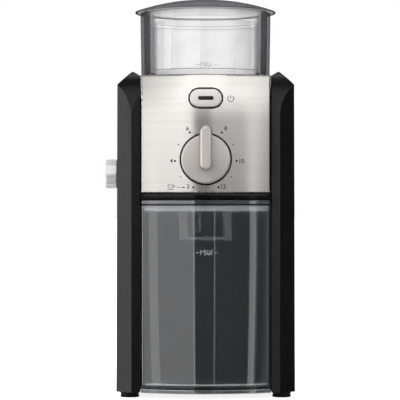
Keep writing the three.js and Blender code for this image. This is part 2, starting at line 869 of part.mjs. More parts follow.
// Base plate under bay and motor; the container's apron hangs in front of it
function basePlate() {
  const plan = floorPlan(frontRadius - containerWall - fit * 2);
  const plate = prism("z", plan, [baseTop - floorThickness, baseTop]);
  const rails = [-1, 1].map((side) => {
    const middle = (side * railSpacing) / 2;
    return block(
      [middle - railWidth / 2, middle + railWidth / 2],
      [outerFacetDepth, backWallFront - fit],
      [baseTop - floorThickness / 2, containerBottom - seat],
    );
  });
  return join([plate, ...rails]);
}

// Rear cover: a slightly bowed sheet with a ladder of vents and the cord's hole
function rearCover() {
  const plan = [...rearLine(rearBowRadius), ...rearLine(rearBowRadius - rearCoverThickness).reverse()];
  const through = [bodyDepth - rearCoverThickness * 4, bodyDepth + bodyDraft + rearCornerRadius];
  const vents = range(ventCount).map((i) =>
    prism("y", stadium(0, ventBottom + i * ventPitch, ventLength, ventHeight, 2), through),
  );
  const screwPlace = (side) => [side * (insideHalf - screwInset), deckHeight - screwInset * 2];
  const screwHoles = [-1, 1].map((side) =>
    rod("y", screwShankRadius + fit, through, screwPlace(side), pinSteps),
  );
  return cut(
    prism("z", plan, [footHeight, deckHeight]),
    vents,
    screwHoles,
    rod("y", glandRadius + fit, through, [0, cordHeight]),
  );
}

// Gland: a grommet with a flange outside and a collar that holds it in the cover
function cordGland() {
  const face = rearFace(0) + seat;
  const inside = rearFace(0) - rearCoverThickness - flangeThickness;
  const profile = [
    [cordBore, inside],
    [glandRadius, inside],
    [glandRadius, face],
    [glandFlange, face],
    [glandFlange, face + flangeThickness],
    [glandRadius - flangeThickness / 2, face + flangeThickness],
    [cordBore + flangeThickness, face + glandReach],
    [cordBore, face + glandReach],
  ];
  return turned("y", profile).translate([0, 0, cordHeight]);
}

function foot() {
  const profile = [
    [0, 0],
    [footRadius - weldDistance - seat, 0],
    [footRadius, seat],
    [footWaist, footHeight / 2],
    [footRadius, footHeight - seat],
    [footStemRadius, footHeight - seat],
    [footStemRadius, footHeight + footStemHeight],
    [0, footHeight + footStemHeight],
  ];
  return turned("z", profile);
}

function coverScrew() {
  const profile = [
    [0, -screwLength],
    [screwShankRadius, -screwLength],
    [screwShankRadius, seat],
    [screwHeadRadius, seat],
    [screwHeadRadius / 2, seat + screwHeadHeight],
    [0, seat + screwHeadHeight],
  ];
  return turned("y", profile, pinSteps);
}

// Hopper: an outer wall with a ledge inside it, and a bowl with funnel and throat that hangs on the ledge
function hopper() {
  const inner = hopperTopRadius - hopperWall;
  const ledgeTop = bowlTop - bowlFlange - seat;
  const profile = [
    [hopperBottomRadius, hopperFoot],
    [hopperTopRadius, hopperTop - hopperWall / 4],
    [hopperTopRadius - hopperWall / 4, hopperTop],
    [inner, hopperTop],
    [inner, ledgeTop],
    [inner - ledgeReach, ledgeTop],
    [inner - ledgeReach, ledgeTop - bowlFlange / 2],
    [inner, ledgeTop - bowlFlange],
    [hopperBottomRadius - hopperWall, hopperFoot],
  ];
  return turned("z", profile, wideSteps);
}

function hopperBowl() {
  const funnelRun = (bowlRadius - throatRadius) / (bowlFloor - throatTop);
  const underRadius = bowlRadius + bowlWall;
  const underDrop = bowlWall / funnelRun;
  const profile = [
    [bowlRadius, bowlTop],
    [bowlRadius, bowlFloor],
    [throatRadius, throatTop],
    [throatRadius, throatBottom],
    [throatRadius + bowlWall, throatBottom],
    [throatRadius + bowlWall, throatTop - underDrop / 2],
    [underRadius, bowlFloor - underDrop / 2],
    [underRadius, bowlTop - bowlFlange],
    [hopperTopRadius - hopperWall - seat, bowlTop - bowlFlange],
    [hopperTopRadius - hopperWall - seat, bowlTop],
  ];
  return turned("z", profile, wideSteps);
}

function hopperGasket() {
  const bottom = deckHeight - wellDepth + seat;
  const span = [bottom, bottom + gasketHeight];
  return tube("z", hopperBottomRadius, hopperBottomRadius - hopperWall, span, [0, 0], wideSteps);
}

// Lid: a shallow spherical cap with a skirt that drops inside the hopper's rim
function hopperLid() {
  const bottom = hopperTop + seat;
  const sphere = (lidRadius ** 2 + lidRise ** 2) / (2 * lidRise);
  const capTop = bottom + lidWall / 2 + lidRise;
  const capHeight = (radius) => capTop - sphere + Math.sqrt(sphere ** 2 - radius ** 2);
  const skirtOuter = hopperTopRadius - hopperWall - fit;
  const skirtInner = skirtOuter - skirtWall;
  const steps = 5;
  const crown = range(steps + 1).map((i) => [(lidRadius * i) / steps, capHeight((lidRadius * i) / steps)]);
  const under = range(steps + 1).map((i) => [
    (skirtInner * (steps - i)) / steps,
    capHeight((skirtInner * (steps - i)) / steps) - lidWall,
  ]);
  const profile = [
    ...crown,
    [lidRadius - lidWall / 4, bottom],
    [skirtOuter, bottom + lidWall / 4],
    [skirtOuter, hopperTop - skirtDepth + lidWall / 4],
    [skirtInner, hopperTop - skirtDepth],
    ...under,
  ];
  return turned("z", profile, wideSteps);
}

function buildHopper() {
  const parent = group(0, axisDepth, 0);
  piece(parent, "hopper", hopper(), clearPlastic);
  piece(parent, "hopper_bowl", hopperBowl(), clearPlastic);
  piece(parent, "hopper_gasket", hopperGasket(), rubber);
  piece(parent, "hopper_lid", hopperLid(), lidPlastic);
}

// Container: a box with a bowed front, an apron below its floor and a framed notch in its back wall
const containerHalf = bayHalf - containerGap;
const containerPlan = (inset) =>
  bowedPlan(frontRadius - inset, containerHalf - inset, containerDepth - inset, containerCorner - inset);

function container() {
  const shell = prism("z", containerPlan(0), [containerBottom, containerTop]);
  const apron = prism("z", bowedStrip(frontRadius, frontRadius - containerWall, containerHalf), [
    apronBottom,
    apronBottom + apronHeight,
  ]);
  const hollowSpan = [containerBottom + containerFloor, containerTop + overrun];
  const hollow = prism("z", containerPlan(containerWall), hollowSpan);
  const inside = containerDepth - containerWall;
  const rim = block(
    [-frameOuterWidth / 2, frameOuterWidth / 2],
    [inside - rimThickness, inside + containerWall / 2],
    [notchBottom - notchRim, lidFlangeBottom - fit],
  );
  const notch = block([-notchWidth / 2, notchWidth / 2], [inside - overrun * 2, containerDepth + overrun], [
    notchBottom,
    containerTop + overrun,
  ]);
  return cut(shell.add(apron).subtract(hollow).add(rim), notch);
}

// Lid of the container: plate, outer band and inner flange, with a hole under the chute
function containerLid() {
  const band = prism("z", containerPlan(0), [containerTop + seat, lidTop]);
  const recess = prism("z", containerPlan(lidBand), [0, lidTop - lidPlate]);
  const flangeInset = containerWall + fit;
  const flangeHole = containerPlan(flangeInset + lidFlangeWall).slice();
  const flange = prism("z", containerPlan(flangeInset), [lidFlangeBottom, lidTop - lidPlate / 2], {
    holes: [flangeHole],
  });
  const notchHalf = notchWidth / 2;
  const notchDepths = [containerDepth - containerWall * 4, containerDepth + overrun];
  const notch = block([-notchHalf, notchHalf], notchDepths, [0, containerTop + seat]);
  const chuteHalf = chuteWidth / 2 - chuteWall / 2;
  const mouth = block(
    [-chuteHalf, chuteHalf],
    [axisDepth - chuteFront + chuteWall / 2, axisDepth - chuteRear - chuteWall / 2],
    [0, lidTop + overrun],
  );
  return cut(band.subtract(recess).add(flange), notch, mouth);
}

function buildContainer() {
  const parent = group(0, 0, 0);
  piece(parent, "container", container(), smokePlastic);
  piece(parent, "container_lid", containerLid(), smokePlastic);
}

// Controls on the front
function powerButton() {
  const front = frontApex - buttonStand;
  const back = front + buttonDepth;
  const cap = prism("y", stadium(0, 0, buttonLength, buttonWidth), [front, back], { edge: buttonEdge });
  const stemSpan = [front + buttonDepth / 2, back + buttonStemLength];
  const stem = rod("y", buttonStemRadius, stemSpan, [0, 0], pinSteps);
  const slot = prism("y", stadium(0, 0, lensLength, lensWidth, 4), [front - overrun, front + lensDepth]);
  return cut(cap.add(stem), slot);
}

function buttonLens() {
  const outline = stadium(0, 0, lensLength - seat, lensWidth - seat, 4);
  return prism("y", outline, [lensFront + seat / 2, lensFront + lensDepth - seat / 2]);
}

function buttonGuide() {
  const grow = 2 * fit;
  const inner = stadium(0, 0, buttonLength + grow, buttonWidth + grow);
  const outer = stadium(0, 0, buttonLength + grow + 2 * guideWall, buttonWidth + grow + 2 * guideWall);
  const wideGrow = 2 * (grow + guideFlange);
  const flange = stadium(0, 0, buttonLength + wideGrow, buttonWidth + wideGrow);
  const flangeFront = bowDepth(frameInside, buttonLength / 2 + guideFlange + grow) + fit;
  return join([
    prism("y", outer, [frontApex, frontApex + guideLength], { holes: [inner] }),
    prism("y", flange, over(flangeFront, guideWall * 2), { holes: [inner] }),
  ]);
}

const dialFront = frontApex - dialStand;

function cupDial() {
  const back = dialFront + dialThickness - steelThickness / 2;
  const disc = turned(
    "y",
    [
      [0, back],
      [dialRadius, back],
      [dialRadius, dialFront + dialEdge],
      [dialRadius - dialEdge / 3, dialFront + dialEdge / 3],
      [dialRadius - dialEdge, dialFront],
      [0, dialFront],
    ],
    roundSteps,
  );
  const gripFront = dialFront - gripHeight;
  const gripLength = gripTopReach + gripBottomReach;
  const middle = (gripTopReach - gripBottomReach) / 2;
  const upright = stadium(0, 0, gripLength, gripWidth).map((p) => at(-p.y, p.x + middle));
  const grip = prism("y", upright, [gripFront, dialFront + dialThickness / 4], { edge: gripEdge });
  return disc.add(grip);
}

function dialShaft() {
  const start = dialFront + dialThickness;
  const round = rod("y", dialShaftRadius, [start, start + dialShaftLength]);
  const flat = block(
    [-dialShaftRadius, dialShaftRadius],
    [start + dialShaftLength / 2, start + dialShaftLength + overrun],
    [dialShaftRadius / 2, dialShaftRadius + overrun],
  );
  return cut(round, flat);
}

// Timer that the dial's shaft turns, on the control board
function timerModule() {
  const half = timerSize / 2;
  const back = boardFront - seat;
  const front = back - timerDepth;
  const outline = roundedRectangle([-half, half], [-half, half], dialBushWall);
  const box = prism("y", outline, [front, back]);
  const neck = rod("y", dialShaftRadius + dialBushWall, [front - plungerLength, front + timerDepth / 2]);
  return cut(box.add(neck), rod("y", dialShaftRadius + running, [-boardFront, back - timerDepth / 4]));
}

function powerSwitch() {
  const back = boardFront - seat;
  const front = back - switchDepth;
  const [halfWidth, halfHeight] = [switchWidth / 2, switchHeight / 2];
  const outline = roundedRectangle([-halfWidth, halfWidth], [-halfHeight, halfHeight], guideWall);
  const plungerSpan = [front - plungerLength, front + switchDepth / 2];
  return prism("y", outline, [front, back]).add(rod("y", plungerRadius, plungerSpan, [0, 0], pinSteps));
}

function controlBoard() {
  const half = boardHalf;
  const sheet = prism("y", roundedRectangle([-half, half], [boardBottom, boardTop], dialBushWall, 3), [
    boardFront,
    boardFront + boardThickness,
  ]);
  const levels = [boardFront + boardThickness / 2, boardFront + boardThickness + relayDepth];
  const relays = [-1, 1].map((side) => {
    const middle = side * (half / 2);
    const xs = [middle - relayWidth / 2, middle + relayWidth / 2];
    return block(xs, levels, [dialHeight + relayHeight, dialHeight + relayHeight * 2]);
  });
  return join([sheet, ...relays]);
}

function buildControls() {
  const button = group(0, 0, buttonHeight);
  piece(button, "power_button", powerButton(), satinSilver);
  piece(button, "button_lens", buttonLens(), darkLens);
  piece(button, "button_guide", buttonGuide(), glossBlack);
  piece(button, "power_switch", powerSwitch(), blackPlastic);
  const dial = group(0, 0, dialHeight);
  piece(dial, "cup_dial", cupDial(), satinSilver);
  piece(dial, "dial_shaft", dialShaft(), whiteNylon);
  piece(dial, "timer_module", timerModule(), blackPlastic);
  piece(group(0, 0, 0), "control_board", controlBoard(), boardGreen);
}

// Fineness knob, escutcheon and shaft, on an axis along x
function finenessKnob() {
  const near = -bodyHalf - escutcheonThickness - seat * 2;
  const far = near - knobReach;
  const disc = prism("x", circle(0, 0, knobRadius, roundSteps), [far, near], {
    edge: knobEdge,
    edgeSteps: 2,
  });
  const circleOfScallops = knobRadius - knobScallopDepth + knobScallopRadius;
  const scallops = around(knobScallopCount, (angle) =>
    rod(
      "x",
      knobScallopRadius,
      [far - overrun, near - knobReach / 4],
      [circleOfScallops * Math.cos(angle), circleOfScallops * Math.sin(angle)],
      pinSteps,
    ),
    quarter / knobScallopCount,
  );
  const middle = knobRadius * knobSlotShare;
  const slot = block(
    [far - overrun, far + knobSlotDepth],
    [-knobRadius - overrun, knobRadius + overrun],
    [middle - knobSlotWidth / 2, middle + knobSlotWidth / 2],
  );
  const bore = rod("x", fineShaftRadius + running, [near - knobReach / 2 - seat, near + overrun]);
  return cut(disc, scallops, slot, bore);
}

function knobEscutcheon() {
  const near = -bodyHalf - seat;
  const profile = [
    [fineShaftRadius + fit, near],
    [escutcheonRadius, near],
    [escutcheonRadius, near - escutcheonThickness / 3],
    [escutcheonRadius - escutcheonThickness, near - escutcheonThickness],
    [fineShaftRadius + fit, near - escutcheonThickness],
  ];
  return turned("x", profile, roundSteps);
}

const pinionSpan = [-crownOuter + seat, -crownInner];

function finenessShaft() {
  const start = -bodyHalf - escutcheonThickness - seat * 2 - knobReach / 2;
  const shaft = rod("x", fineShaftRadius, [start, pinionSpan[1]]);
  return shaft.add(prism("x", gearOutline(finePinionTeeth, finePinionRadius, quarter), pinionSpan));
}

function buildFineness() {
  const parent = group(0, axisDepth, fineHeight);
  piece(parent, "fineness_knob", finenessKnob(), satinSilver);
  piece(parent, "knob_escutcheon", knobEscutcheon(), blackPlastic);
  piece(parent, "fineness_shaft", finenessShaft(), whiteNylon);
}

// Ring round the chamber: its crown teeth hang under a flange, its lip carries the lugs of the carrier
function adjustingRing() {
  const inner = chamberRadius + fit;
  const collarRadius = inner + ringWall;
  const profile = [
    [inner, crownFlangeBottom],
    [crownOuter + fit, crownFlangeBottom],
    [crownOuter + fit, crownFlangeBottom + ringFlange],
    [collarRadius, crownFlangeBottom + ringFlange],
    [collarRadius, ringTop],
    [carrierRadius + fit * 2, ringTop],
    [carrierRadius + fit * 2, ringTop - ringLip],
    [inner, ringTop - ringLip],
  ];
  // The half pitch puts a gap, not a tooth, over the pinion's top tooth.
  const teeth = range(crownSectorTeeth).map((i) => {
    const pitches = i + (1 - crownSectorTeeth) / 2;
    return crownTooth(2 * quarter + (4 * quarter * pitches) / crownTeeth);
  });
  const notchLevels = [ringTop - ringLip - overrun, ringTop + overrun];
  const notches = around(ringLugCount, (angle) =>
    lugSolid(angle, [carrierNeck, inner - fit / 2], lugWidth + fit * 2, notchLevels),
  );
  return cut(join([turned("z", profile, wideSteps), ...teeth]), notches);
}

// One crown tooth: its flanks close in towards the tip and towards the axis
function crownTooth(angle) {
  const pitch = (4 * quarter * crownPitchRadius) / crownTeeth;
  const root = (toothRootShare * pitch) / 2;
  const tip = (toothTipShare * pitch) / 2;
  const profile = [
    at(-root, crownFlangeBottom),
    at(-tip, crownToothTip),
    at(tip, crownToothTip),
    at(root, crownFlangeBottom),
    at(root / 2, crownFlangeBottom + ringFlange / 2),
    at(-root / 2, crownFlangeBottom + ringFlange / 2),
  ];
  const shape = new THREE.ExtrudeGeometry(new THREE.Shape(profile), {
    depth: crownOuter - crownInner,
    bevelEnabled: false,
  });
  shape.applyMatrix4(prismFrames.x);
  shape.translate(crownInner, 0, 0);
  shape.rotateZ(angle);
  return solidFrom(shape);
}

function lugSolid(angle, [inner, outer], width, levels) {
  return prism("z", turnedPoints(rectangle([inner, outer], [-width / 2, width / 2]), angle), levels);
}

// Carrier of the upper burr, with three lugs in the ring and a collar round the hopper's throat
function upperBurrCarrier() {
  const neckTop = ringTop + ringLip;
  const collarInner = throatRadius + bowlWall + fit * 2;
  const profile = [
    [upperBurrBore, carrierBottom],
    [carrierRadius, carrierBottom],
    [carrierRadius, carrierBottom + carrierPlate],
    [carrierNeck, carrierBottom + carrierPlate],
    [carrierNeck, neckTop],
    [collarInner + collarWall, neckTop],
    [collarInner + collarWall, neckTop + carrierCollar],
    [collarInner, neckTop + carrierCollar],
    [collarInner, throatBottom - fit * 2],
    [upperBurrBore, throatBottom - fit * 2],
  ];
  const lugBottom = ringTop - ringLip + fit;
  const lugs = around(ringLugCount, (angle) =>
    lugSolid(angle, [carrierNeck - overrun, chamberRadius - fit], lugWidth, over(lugBottom, lugHeight)),
  );
  return join([turned("z", profile, roundSteps), ...lugs]);
}

// Grooves of a burr: V cuts that run aslant from the middle to the rim
function burrGroove(angle, [startShare, endShare], depth, level, down) {
  const start = startShare * burrRadius;
  const end = endShare * burrRadius + overrun;
  const skew = grooveSkewShare * burrRadius;
  const away = down ? -overrun : overrun;
  const into = down ? depth : -depth;
  const section = new THREE.Shape([
    at(-depth, level + away),
    at(depth, level + away),
    at(depth, level),
    at(0, level + into),
    at(-depth, level),
  ]);
  const shape = new THREE.ExtrudeGeometry(section, { depth: end - start, bevelEnabled: false });
  shape.applyMatrix4(prismFrames.x);
  shape.translate(start, 0, 0);
  const slant = Math.atan2(skew, burrRadius);
  shape.rotateZ(slant);
  shape.translate(0, -skew / 2, 0);
  shape.rotateZ(angle);
  return solidFrom(shape);
}

function burr(bore, [bottom, top], face, down) {
  const ring = tube("z", burrRadius, bore, [bottom, top], [0, 0], wideSteps);
  const breakers = around(breakerGrooves, (angle) =>
    burrGroove(angle, [0, breakerReachShare], breakerDepth, face, down),
  );
  const finishers = around(finishingGrooves, (angle) =>
    burrGroove(angle, [finishingStartShare, 1], finishingDepth, face, down),
    quarter / finishingGrooves,
  );
  return cut(ring, breakers, finishers);
}

// Chamber: a cup on four legs, with the chute that drops the grounds through the head floor
function grindingChamber() {
  const inner = chamberRadius - chamberWall;
  const floorTop = chamberFloor + chamberWall;
  const cup = turned(
    "z",
    [
      [spindleRadius + fit * 3, chamberFloor],
      [chamberRadius, chamberFloor],
      [chamberRadius, chamberTop],
      [inner, chamberTop],
      [inner, floorTop],
      [spindleRadius + fit * 3, floorTop],
    ],
    wideSteps,
  );
  const half = chuteWidth / 2;
  const chuteLevels = [headFloorBottom, floorTop - chamberWall / 2];
  const chute = block([-half, half], [-chuteFront, -chuteRear], chuteLevels);
  const duct = block(
    [chuteWall - half, half - chuteWall],
    [chuteWall - chuteFront, -chuteRear - chuteWall],
    [headFloorBottom - overrun, floorTop + overrun],
  );
  const legs = around(
    legCount,
    (angle) => {
      const place = [legCircle * Math.cos(angle), legCircle * Math.sin(angle)];
      const post = rod("z", legRadius, [headFloorTop + seat, chamberFloor + legFlange], place, pinSteps);
      const reach = [inner + chamberWall / 2, legCircle];
      return post.add(lugSolid(angle, reach, legRadius, over(chamberFloor, legFlange)));
    },
  );
  return cut(join([cup, chute, ...legs]), duct);
}

// Impeller: carries the lower burr and sweeps the grounds round to the chute
function impeller() {
  const top = lowerBurrBottom - seat;
  const bottom = chamberFloor + chamberWall + fit * 2;
  const middle = top - impellerPlate / 2;
  const bore = spindleRadius + running;
  const plate = tube("z", burrRadius + fit * 3, bore, [top - impellerPlate, top], [0, 0], roundSteps);
  const hub = tube("z", hubRadius, bore, [bottom, middle]);
  const pilot = tube("z", lowerBurrBore - running, bore, [middle, top + burrHeight / 2]);
  const paddles = around(paddleCount, (angle) =>
    lugSolid(angle, [paddleInner, impellerRadius], paddleWidth, [bottom, top]),
  );
  return join([plate, hub, pilot, ...paddles]);
}

function burrSpindle() {
  const top = lowerBurrBottom + burrHeight / 2 + nutHeight;
  return rod("z", spindleRadius, [spindleBottom, top]);
}

function burrNut() {
  const bottom = lowerBurrBottom + burrHeight / 2 + seat;
  const hexagon = circle(0, 0, nutRadius, 6);
  return prism("z", hexagon, over(bottom, nutHeight), { holes: [circle(0, 0, spindleRadius + running)] });
}

function spindleBush() {
  const bore = spindleRadius + running;
  const top = headFloorTop + seat + bushFlangeHeight;
  const profile = [
    [bore, headFloorBottom - panelWall],
    [bushRadius, headFloorBottom - panelWall],
    [bushRadius, headFloorTop + seat],
    [bushFlange, headFloorTop + seat],
    [bushFlange, top],
    [bore, top],
  ];
  return turned("z", profile);
}

function driveGear() {
  const bore = circle(0, 0, spindleRadius + running);
  const outline = gearOutline(driveTeeth, pitchOf(driveTeeth), quarter);
  const teeth = prism("z", outline, over(gearLevel, driveGearHeight), { holes: [bore] });
  const hubLevels = [gearLevel, chamberFloor - fit];
  return teeth.add(tube("z", spindleRadius + gearHubWall, spindleRadius + running, hubLevels));
}

function buildGrinding() {
  const parent = group(0, axisDepth, 0);
  piece(parent, "grinding_chamber", grindingChamber(), blackPlastic);
  piece(parent, "adjusting_ring", adjustingRing(), whiteNylon);
  piece(parent, "upper_burr_carrier", upperBurrCarrier(), blackPlastic);
  const upper = [upperBurrBottom, carrierBottom - seat];
  piece(parent, "upper_burr", burr(upperBurrBore, upper, upperBurrBottom, true), burrSteel);
  const lower = [lowerBurrBottom, lowerBurrBottom + burrHeight];
  piece(parent, "lower_burr", burr(lowerBurrBore, lower, lower[1], false), burrSteel);
  piece(parent, "impeller", impeller(), whiteNylon);
  piece(parent, "burr_spindle", burrSpindle(), zincSteel);
  piece(parent, "burr_nut", burrNut(), zincSteel);
  piece(parent, "spindle_bush", spindleBush(), bronze);
  piece(parent, "drive_gear", driveGear(), whiteNylon);
}

// Compound gear on its post: the small gear drives the burr spindle, the wheel is driven by the motor
function intermediateGear() {
  const bore = circle(0, 0, postRadius + running);
  const halfTooth = (2 * quarter) / smallTeeth;
  const smallOutline = gearOutline(smallTeeth, pitchOf(smallTeeth), halfTooth - quarter);
  const wheelOutline = gearOutline(wheelTeeth, pitchOf(wheelTeeth), quarter);
  const small = prism("z", smallOutline, [gearLevel, wheelLevel + seat], { holes: [bore] });
  const wheel = prism("z", wheelOutline, over(wheelLevel, wheelHeight), { holes: [bore] });
  return small.add(wheel);
}

function gearPost() {
  const collar = headFloorTop + seat;
  const profile = [
    [0, headFloorBottom],
    [postRadius, headFloorBottom],
    [postRadius, collar],
    [postRadius * 2, collar],
    [postRadius * 2, gearLevel - fit],
    [postRadius, gearLevel - fit],
    [postRadius, postTop],
    [0, postTop],
  ];
  return turned("z", profile);
}

function buildGearTrain() {
  const parent = group(0, gearPostDepth, 0);
  piece(parent, "intermediate_gear", intermediateGear(), whiteNylon);
  piece(parent, "gear_post", gearPost(), zincSteel);
}

// Motor: laminated core with two poles, field coils, armature with its commutator, fan and brackets
const coreTop = coreBottom + coreHeight;

function statorWindow() {
  const halfWidth = windowWidth / 2;
  const halfDepth = windowDepth / 2;
  const neck = poleNeck / 2;
  const first = quarter * (1 - shoeSpanShare);
  const last = quarter * (1 + shoeSpanShare);
  const pole = [
    at(halfWidth, halfDepth),
    at(neck, halfDepth),
    at(neck, shoeRadius),
    at(shoeRadius * Math.cos(first), shoeRadius * Math.sin(first)),
    ...arc(0, 0, boreRadius, first, last, 6),
    at(shoeRadius * Math.cos(last), shoeRadius * Math.sin(last)),
    at(-neck, shoeRadius),
    at(-neck, halfDepth),
    at(-halfWidth, halfDepth),
  ];
  return [...pole, ...turnedPoints(pole, 2 * quarter)];
}

function statorCore() {
  const outline = roundedRectangle(wide(coreWidth), wide(coreDepth), coreCorner);
  return prism("z", outline, [coreBottom, coreTop], { holes: [statorWindow()] });
}

function fieldCoil(side) {
  const high = [coreBottom - coilOverhang, coreTop + coilOverhang];
  const outer = roundedRectangle(wide(coilOuterWidth), high, coilCorner, 3);
  const inner = rectangle(wide(coilInnerWidth), [coreBottom - seat * 2, coreTop + seat * 2]);
  const depths = [side * coilFront, side * (coilFront + coilThickness)].sort((a, b) => a - b);
  return prism("y", outer, depths, { holes: [inner] });
}

function armature() {
  const outline = range(armatureSlots).flatMap((i) => {
    const pitch = (4 * quarter) / armatureSlots;
    const mouth = slotWidth / 2 / armatureRadius;
    const middle = pitch * i;
    const deep = armatureRadius - slotDepth;
    return [
      ...arc(0, 0, armatureRadius, middle - pitch / 2 + mouth, middle + pitch / 2 - mouth, 1),
      at(deep * Math.cos(middle + pitch / 2), deep * Math.sin(middle + pitch / 2)),
    ];
  });
  const bore = circle(0, 0, motorShaftRadius + running);
  const core = prism("z", outline, [coreBottom, coreTop], { holes: [bore] });
  const winding = (end, way) =>
    turned(
      "z",
      [
        [motorShaftRadius + running, end],
        [windingRadius, end],
        [windingRadius, end + (way * windingHeight) / 2],
        [windingRadius - motorShaftRadius, end + way * windingHeight],
        [motorShaftRadius + running, end + way * windingHeight],
      ],
    );
  return join([core, winding(coreBottom, -1), winding(coreTop, 1)]);
}

function commutator() {
  const top = commutatorBottom + commutatorHeight;
  const bore = motorShaftRadius + running;
  const drum = tube("z", commutatorRadius, bore, [commutatorBottom, top], [0, 0], roundSteps);
  const gaps = around(commutatorBars, (angle) =>
    lugSolid(
      angle,
      [commutatorRadius - barGapDepth, commutatorRadius + overrun],
      barGap,
      [commutatorBottom + barGapDepth, top + overrun],
    ),
  );
  return cut(drum, gaps);
}

// Brush holder: a box that points at the commutator, on a foot that stands on the bottom bracket
function brushHolder(side) {
  const inner = commutatorRadius + fit;
  const span = (a, b) => [Math.min(a * side, b * side), Math.max(a * side, b * side)];
  const middle = commutatorBottom + commutatorHeight / 2;
  const depths = wide(brushWidth);
  const box = block(span(inner, inner + brushReach), depths, over(middle - brushHeight / 2, brushHeight));
  const footSolid = block(span(inner + brushFoot, inner + brushFoot * 2), depths, [
    bottomBracketLevel + bracketThickness + seat,
    middle,
  ]);
  return box.add(footSolid);
}

function motorBracket(level, bossLevels, pillarLevels) {
  const plate = prism("z", stadium(0, 0, bracketWidth, bracketDepth), over(level, bracketThickness));
  const boss = rod("z", bracketBoss, bossLevels);
  const pillars = wide(pillarSpacing).map((x) => rod("z", pillarRadius, pillarLevels, [x, 0], pinSteps));
  const bore = rod("z", motorShaftRadius + running, [bossLevels[0] - overrun, bossLevels[1] + overrun]);
  return cut(join([plate, boss, ...pillars]), bore);
}

function coolingFan() {
  const bore = motorShaftRadius + running;
  const plate = tube("z", fanRadius, bore, over(fanLevel, fanPlate), [0, 0], roundSteps);
  const hub = tube("z", hubRadius, bore, over(fanLevel, fanHeight));
  const blades = around(fanBlades, (angle) => {
    const skew = bladeSkewShare * fanRadius;
    const blade = [
      at(hubRadius - bladeWidth, -bladeWidth / 2),
      at(fanRadius - bladeWidth, skew - bladeWidth / 2),
      at(fanRadius - bladeWidth, skew + bladeWidth / 2),
      at(hubRadius - bladeWidth, bladeWidth / 2),
    ];
    return prism("z", turnedPoints(blade, angle), [fanLevel + fanPlate / 2, fanLevel + fanHeight]);
  });
  return join([plate, hub, ...blades]);
}

function motorPinion() {
  const halfTooth = (2 * quarter) / pinionTeeth;
  const outline = gearOutline(pinionTeeth, pitchOf(pinionTeeth), halfTooth - quarter);
  return prism("z", outline, over(wheelLevel, wheelHeight), {
    holes: [circle(0, 0, motorShaftRadius + running)],
  });
}

// Rubber ring that the motor's bottom bracket stands on
function motorMount() {
  const bottom = baseTop + seat;
  const top = bottomBracketLevel - seat;
  const profile = [
    [mountBore, bottom],
    [mountRadius, bottom],
    [mountWaist, (bottom + top) / 2],
    [mountRadius, top],
    [mountBore, top],
  ];
  return turned("z", profile);
}

function buildMotor() {
  const parent = group(0, motorDepth, 0);
  const core = [coreBottom - seat, coreTop + seat];
  const bottomBoss = [bottomBracketLevel, bottomBracketLevel + bracketThickness + bossHeight];
  const topBoss = [topBracketLevel - fit * 2, topBracketLevel + bracketThickness + bossHeight];
  piece(parent, "stator_core", statorCore(), zincSteel);
  piece(parent, "field_coil_front", fieldCoil(-1), copper);
  piece(parent, "field_coil_rear", fieldCoil(1), copper);
  piece(parent, "armature", armature(), zincSteel);
  piece(parent, "commutator", commutator(), copper);
  piece(parent, "motor_shaft", rod("z", motorShaftRadius, [motorShaftBottom, motorShaftTop]), zincSteel);
  piece(parent, "motor_pinion", motorPinion(), bronze);
  piece(parent, "cooling_fan", coolingFan(), blackPlastic);
  piece(parent, "brush_holder_left", brushHolder(-1), bronze);
  piece(parent, "brush_holder_right", brushHolder(1), bronze);
  const bottomPillars = [bottomBracketLevel, core[0]];
  const topPillars = [core[1], topBracketLevel + bracketThickness];
  const bottomBracket = motorBracket(bottomBracketLevel, bottomBoss, bottomPillars);
  piece(parent, "bottom_bracket", bottomBracket, zincSteel);
  piece(parent, "top_bracket", motorBracket(topBracketLevel, topBoss, topPillars), zincSteel);
  piece(parent, "motor_mount", motorMount(), rubber);
}

// Safety interlock: the container's back wall holds the lever's wing in, and the lever holds the switch
function interlockLever() {
  const half = leverWidth / 2;
  const top = leverBottom + leverHeight;
  const stemWidths = [leverOffset - half, leverOffset + half];
  const stem = block(stemWidths, over(leverFront, leverLength), [leverBottom, top]);
  const wing = block(
    [-wingReach, leverOffset],
    [containerDepth + fit, containerDepth + fit + wingThickness],
    [leverBottom, leverBottom + wingHeight],
  );
  return stem.add(wing);
}

function interlockSwitch() {
  const front = backWallFront + backWallThickness + seat;
  const bottom = leverBottom + leverHeight / 2 - interlockHeight / 2;
  const box = block(
    [leverOffset - interlockWidth / 2, leverOffset + interlockWidth / 2],
    [front, front + interlockDepth],
    [bottom, bottom + interlockHeight],
  );
  const half = leverWidth / 2 + fit;
  const pocket = block(
    [leverOffset - half, leverOffset + half],
    [0, leverFront + leverLength + leverTravel + fit],
    [leverBottom - fit, leverBottom + leverHeight + fit],
  );
  return cut(box, pocket);
}

function buildInterlock() {
  const parent = group(0, 0, 0);
  piece(parent, "interlock_lever", interlockLever(), whiteNylon);
  piece(parent, "interlock_switch", interlockSwitch(), blackPlastic);
}

buildHousing();
buildHopper();
buildContainer();
buildControls();
buildFineness();
buildGrinding();
buildGearTrain();
buildMotor();
buildInterlock();

// The origin goes to the middle of the footprint: the knob reaches left, the grip forward, the gland back
const leftReach = bodyHalf + escutcheonThickness + seat * 2 + knobReach;
const frontReach = dialFront - gripHeight;
const backReach = rearFace(0) + seat + glandReach;
machine.position.set((leftReach - bodyHalf) / 2, -(frontReach + backReach) / 2, 0);

const grinder = new THREE.Group();
grinder.name = "burr_coffee_grinder";
grinder.add(machine);

export default grinder;
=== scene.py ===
import json
import math

import bmesh
import bpy
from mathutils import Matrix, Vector
from mathutils.geometry import delaunay_2d_cdt


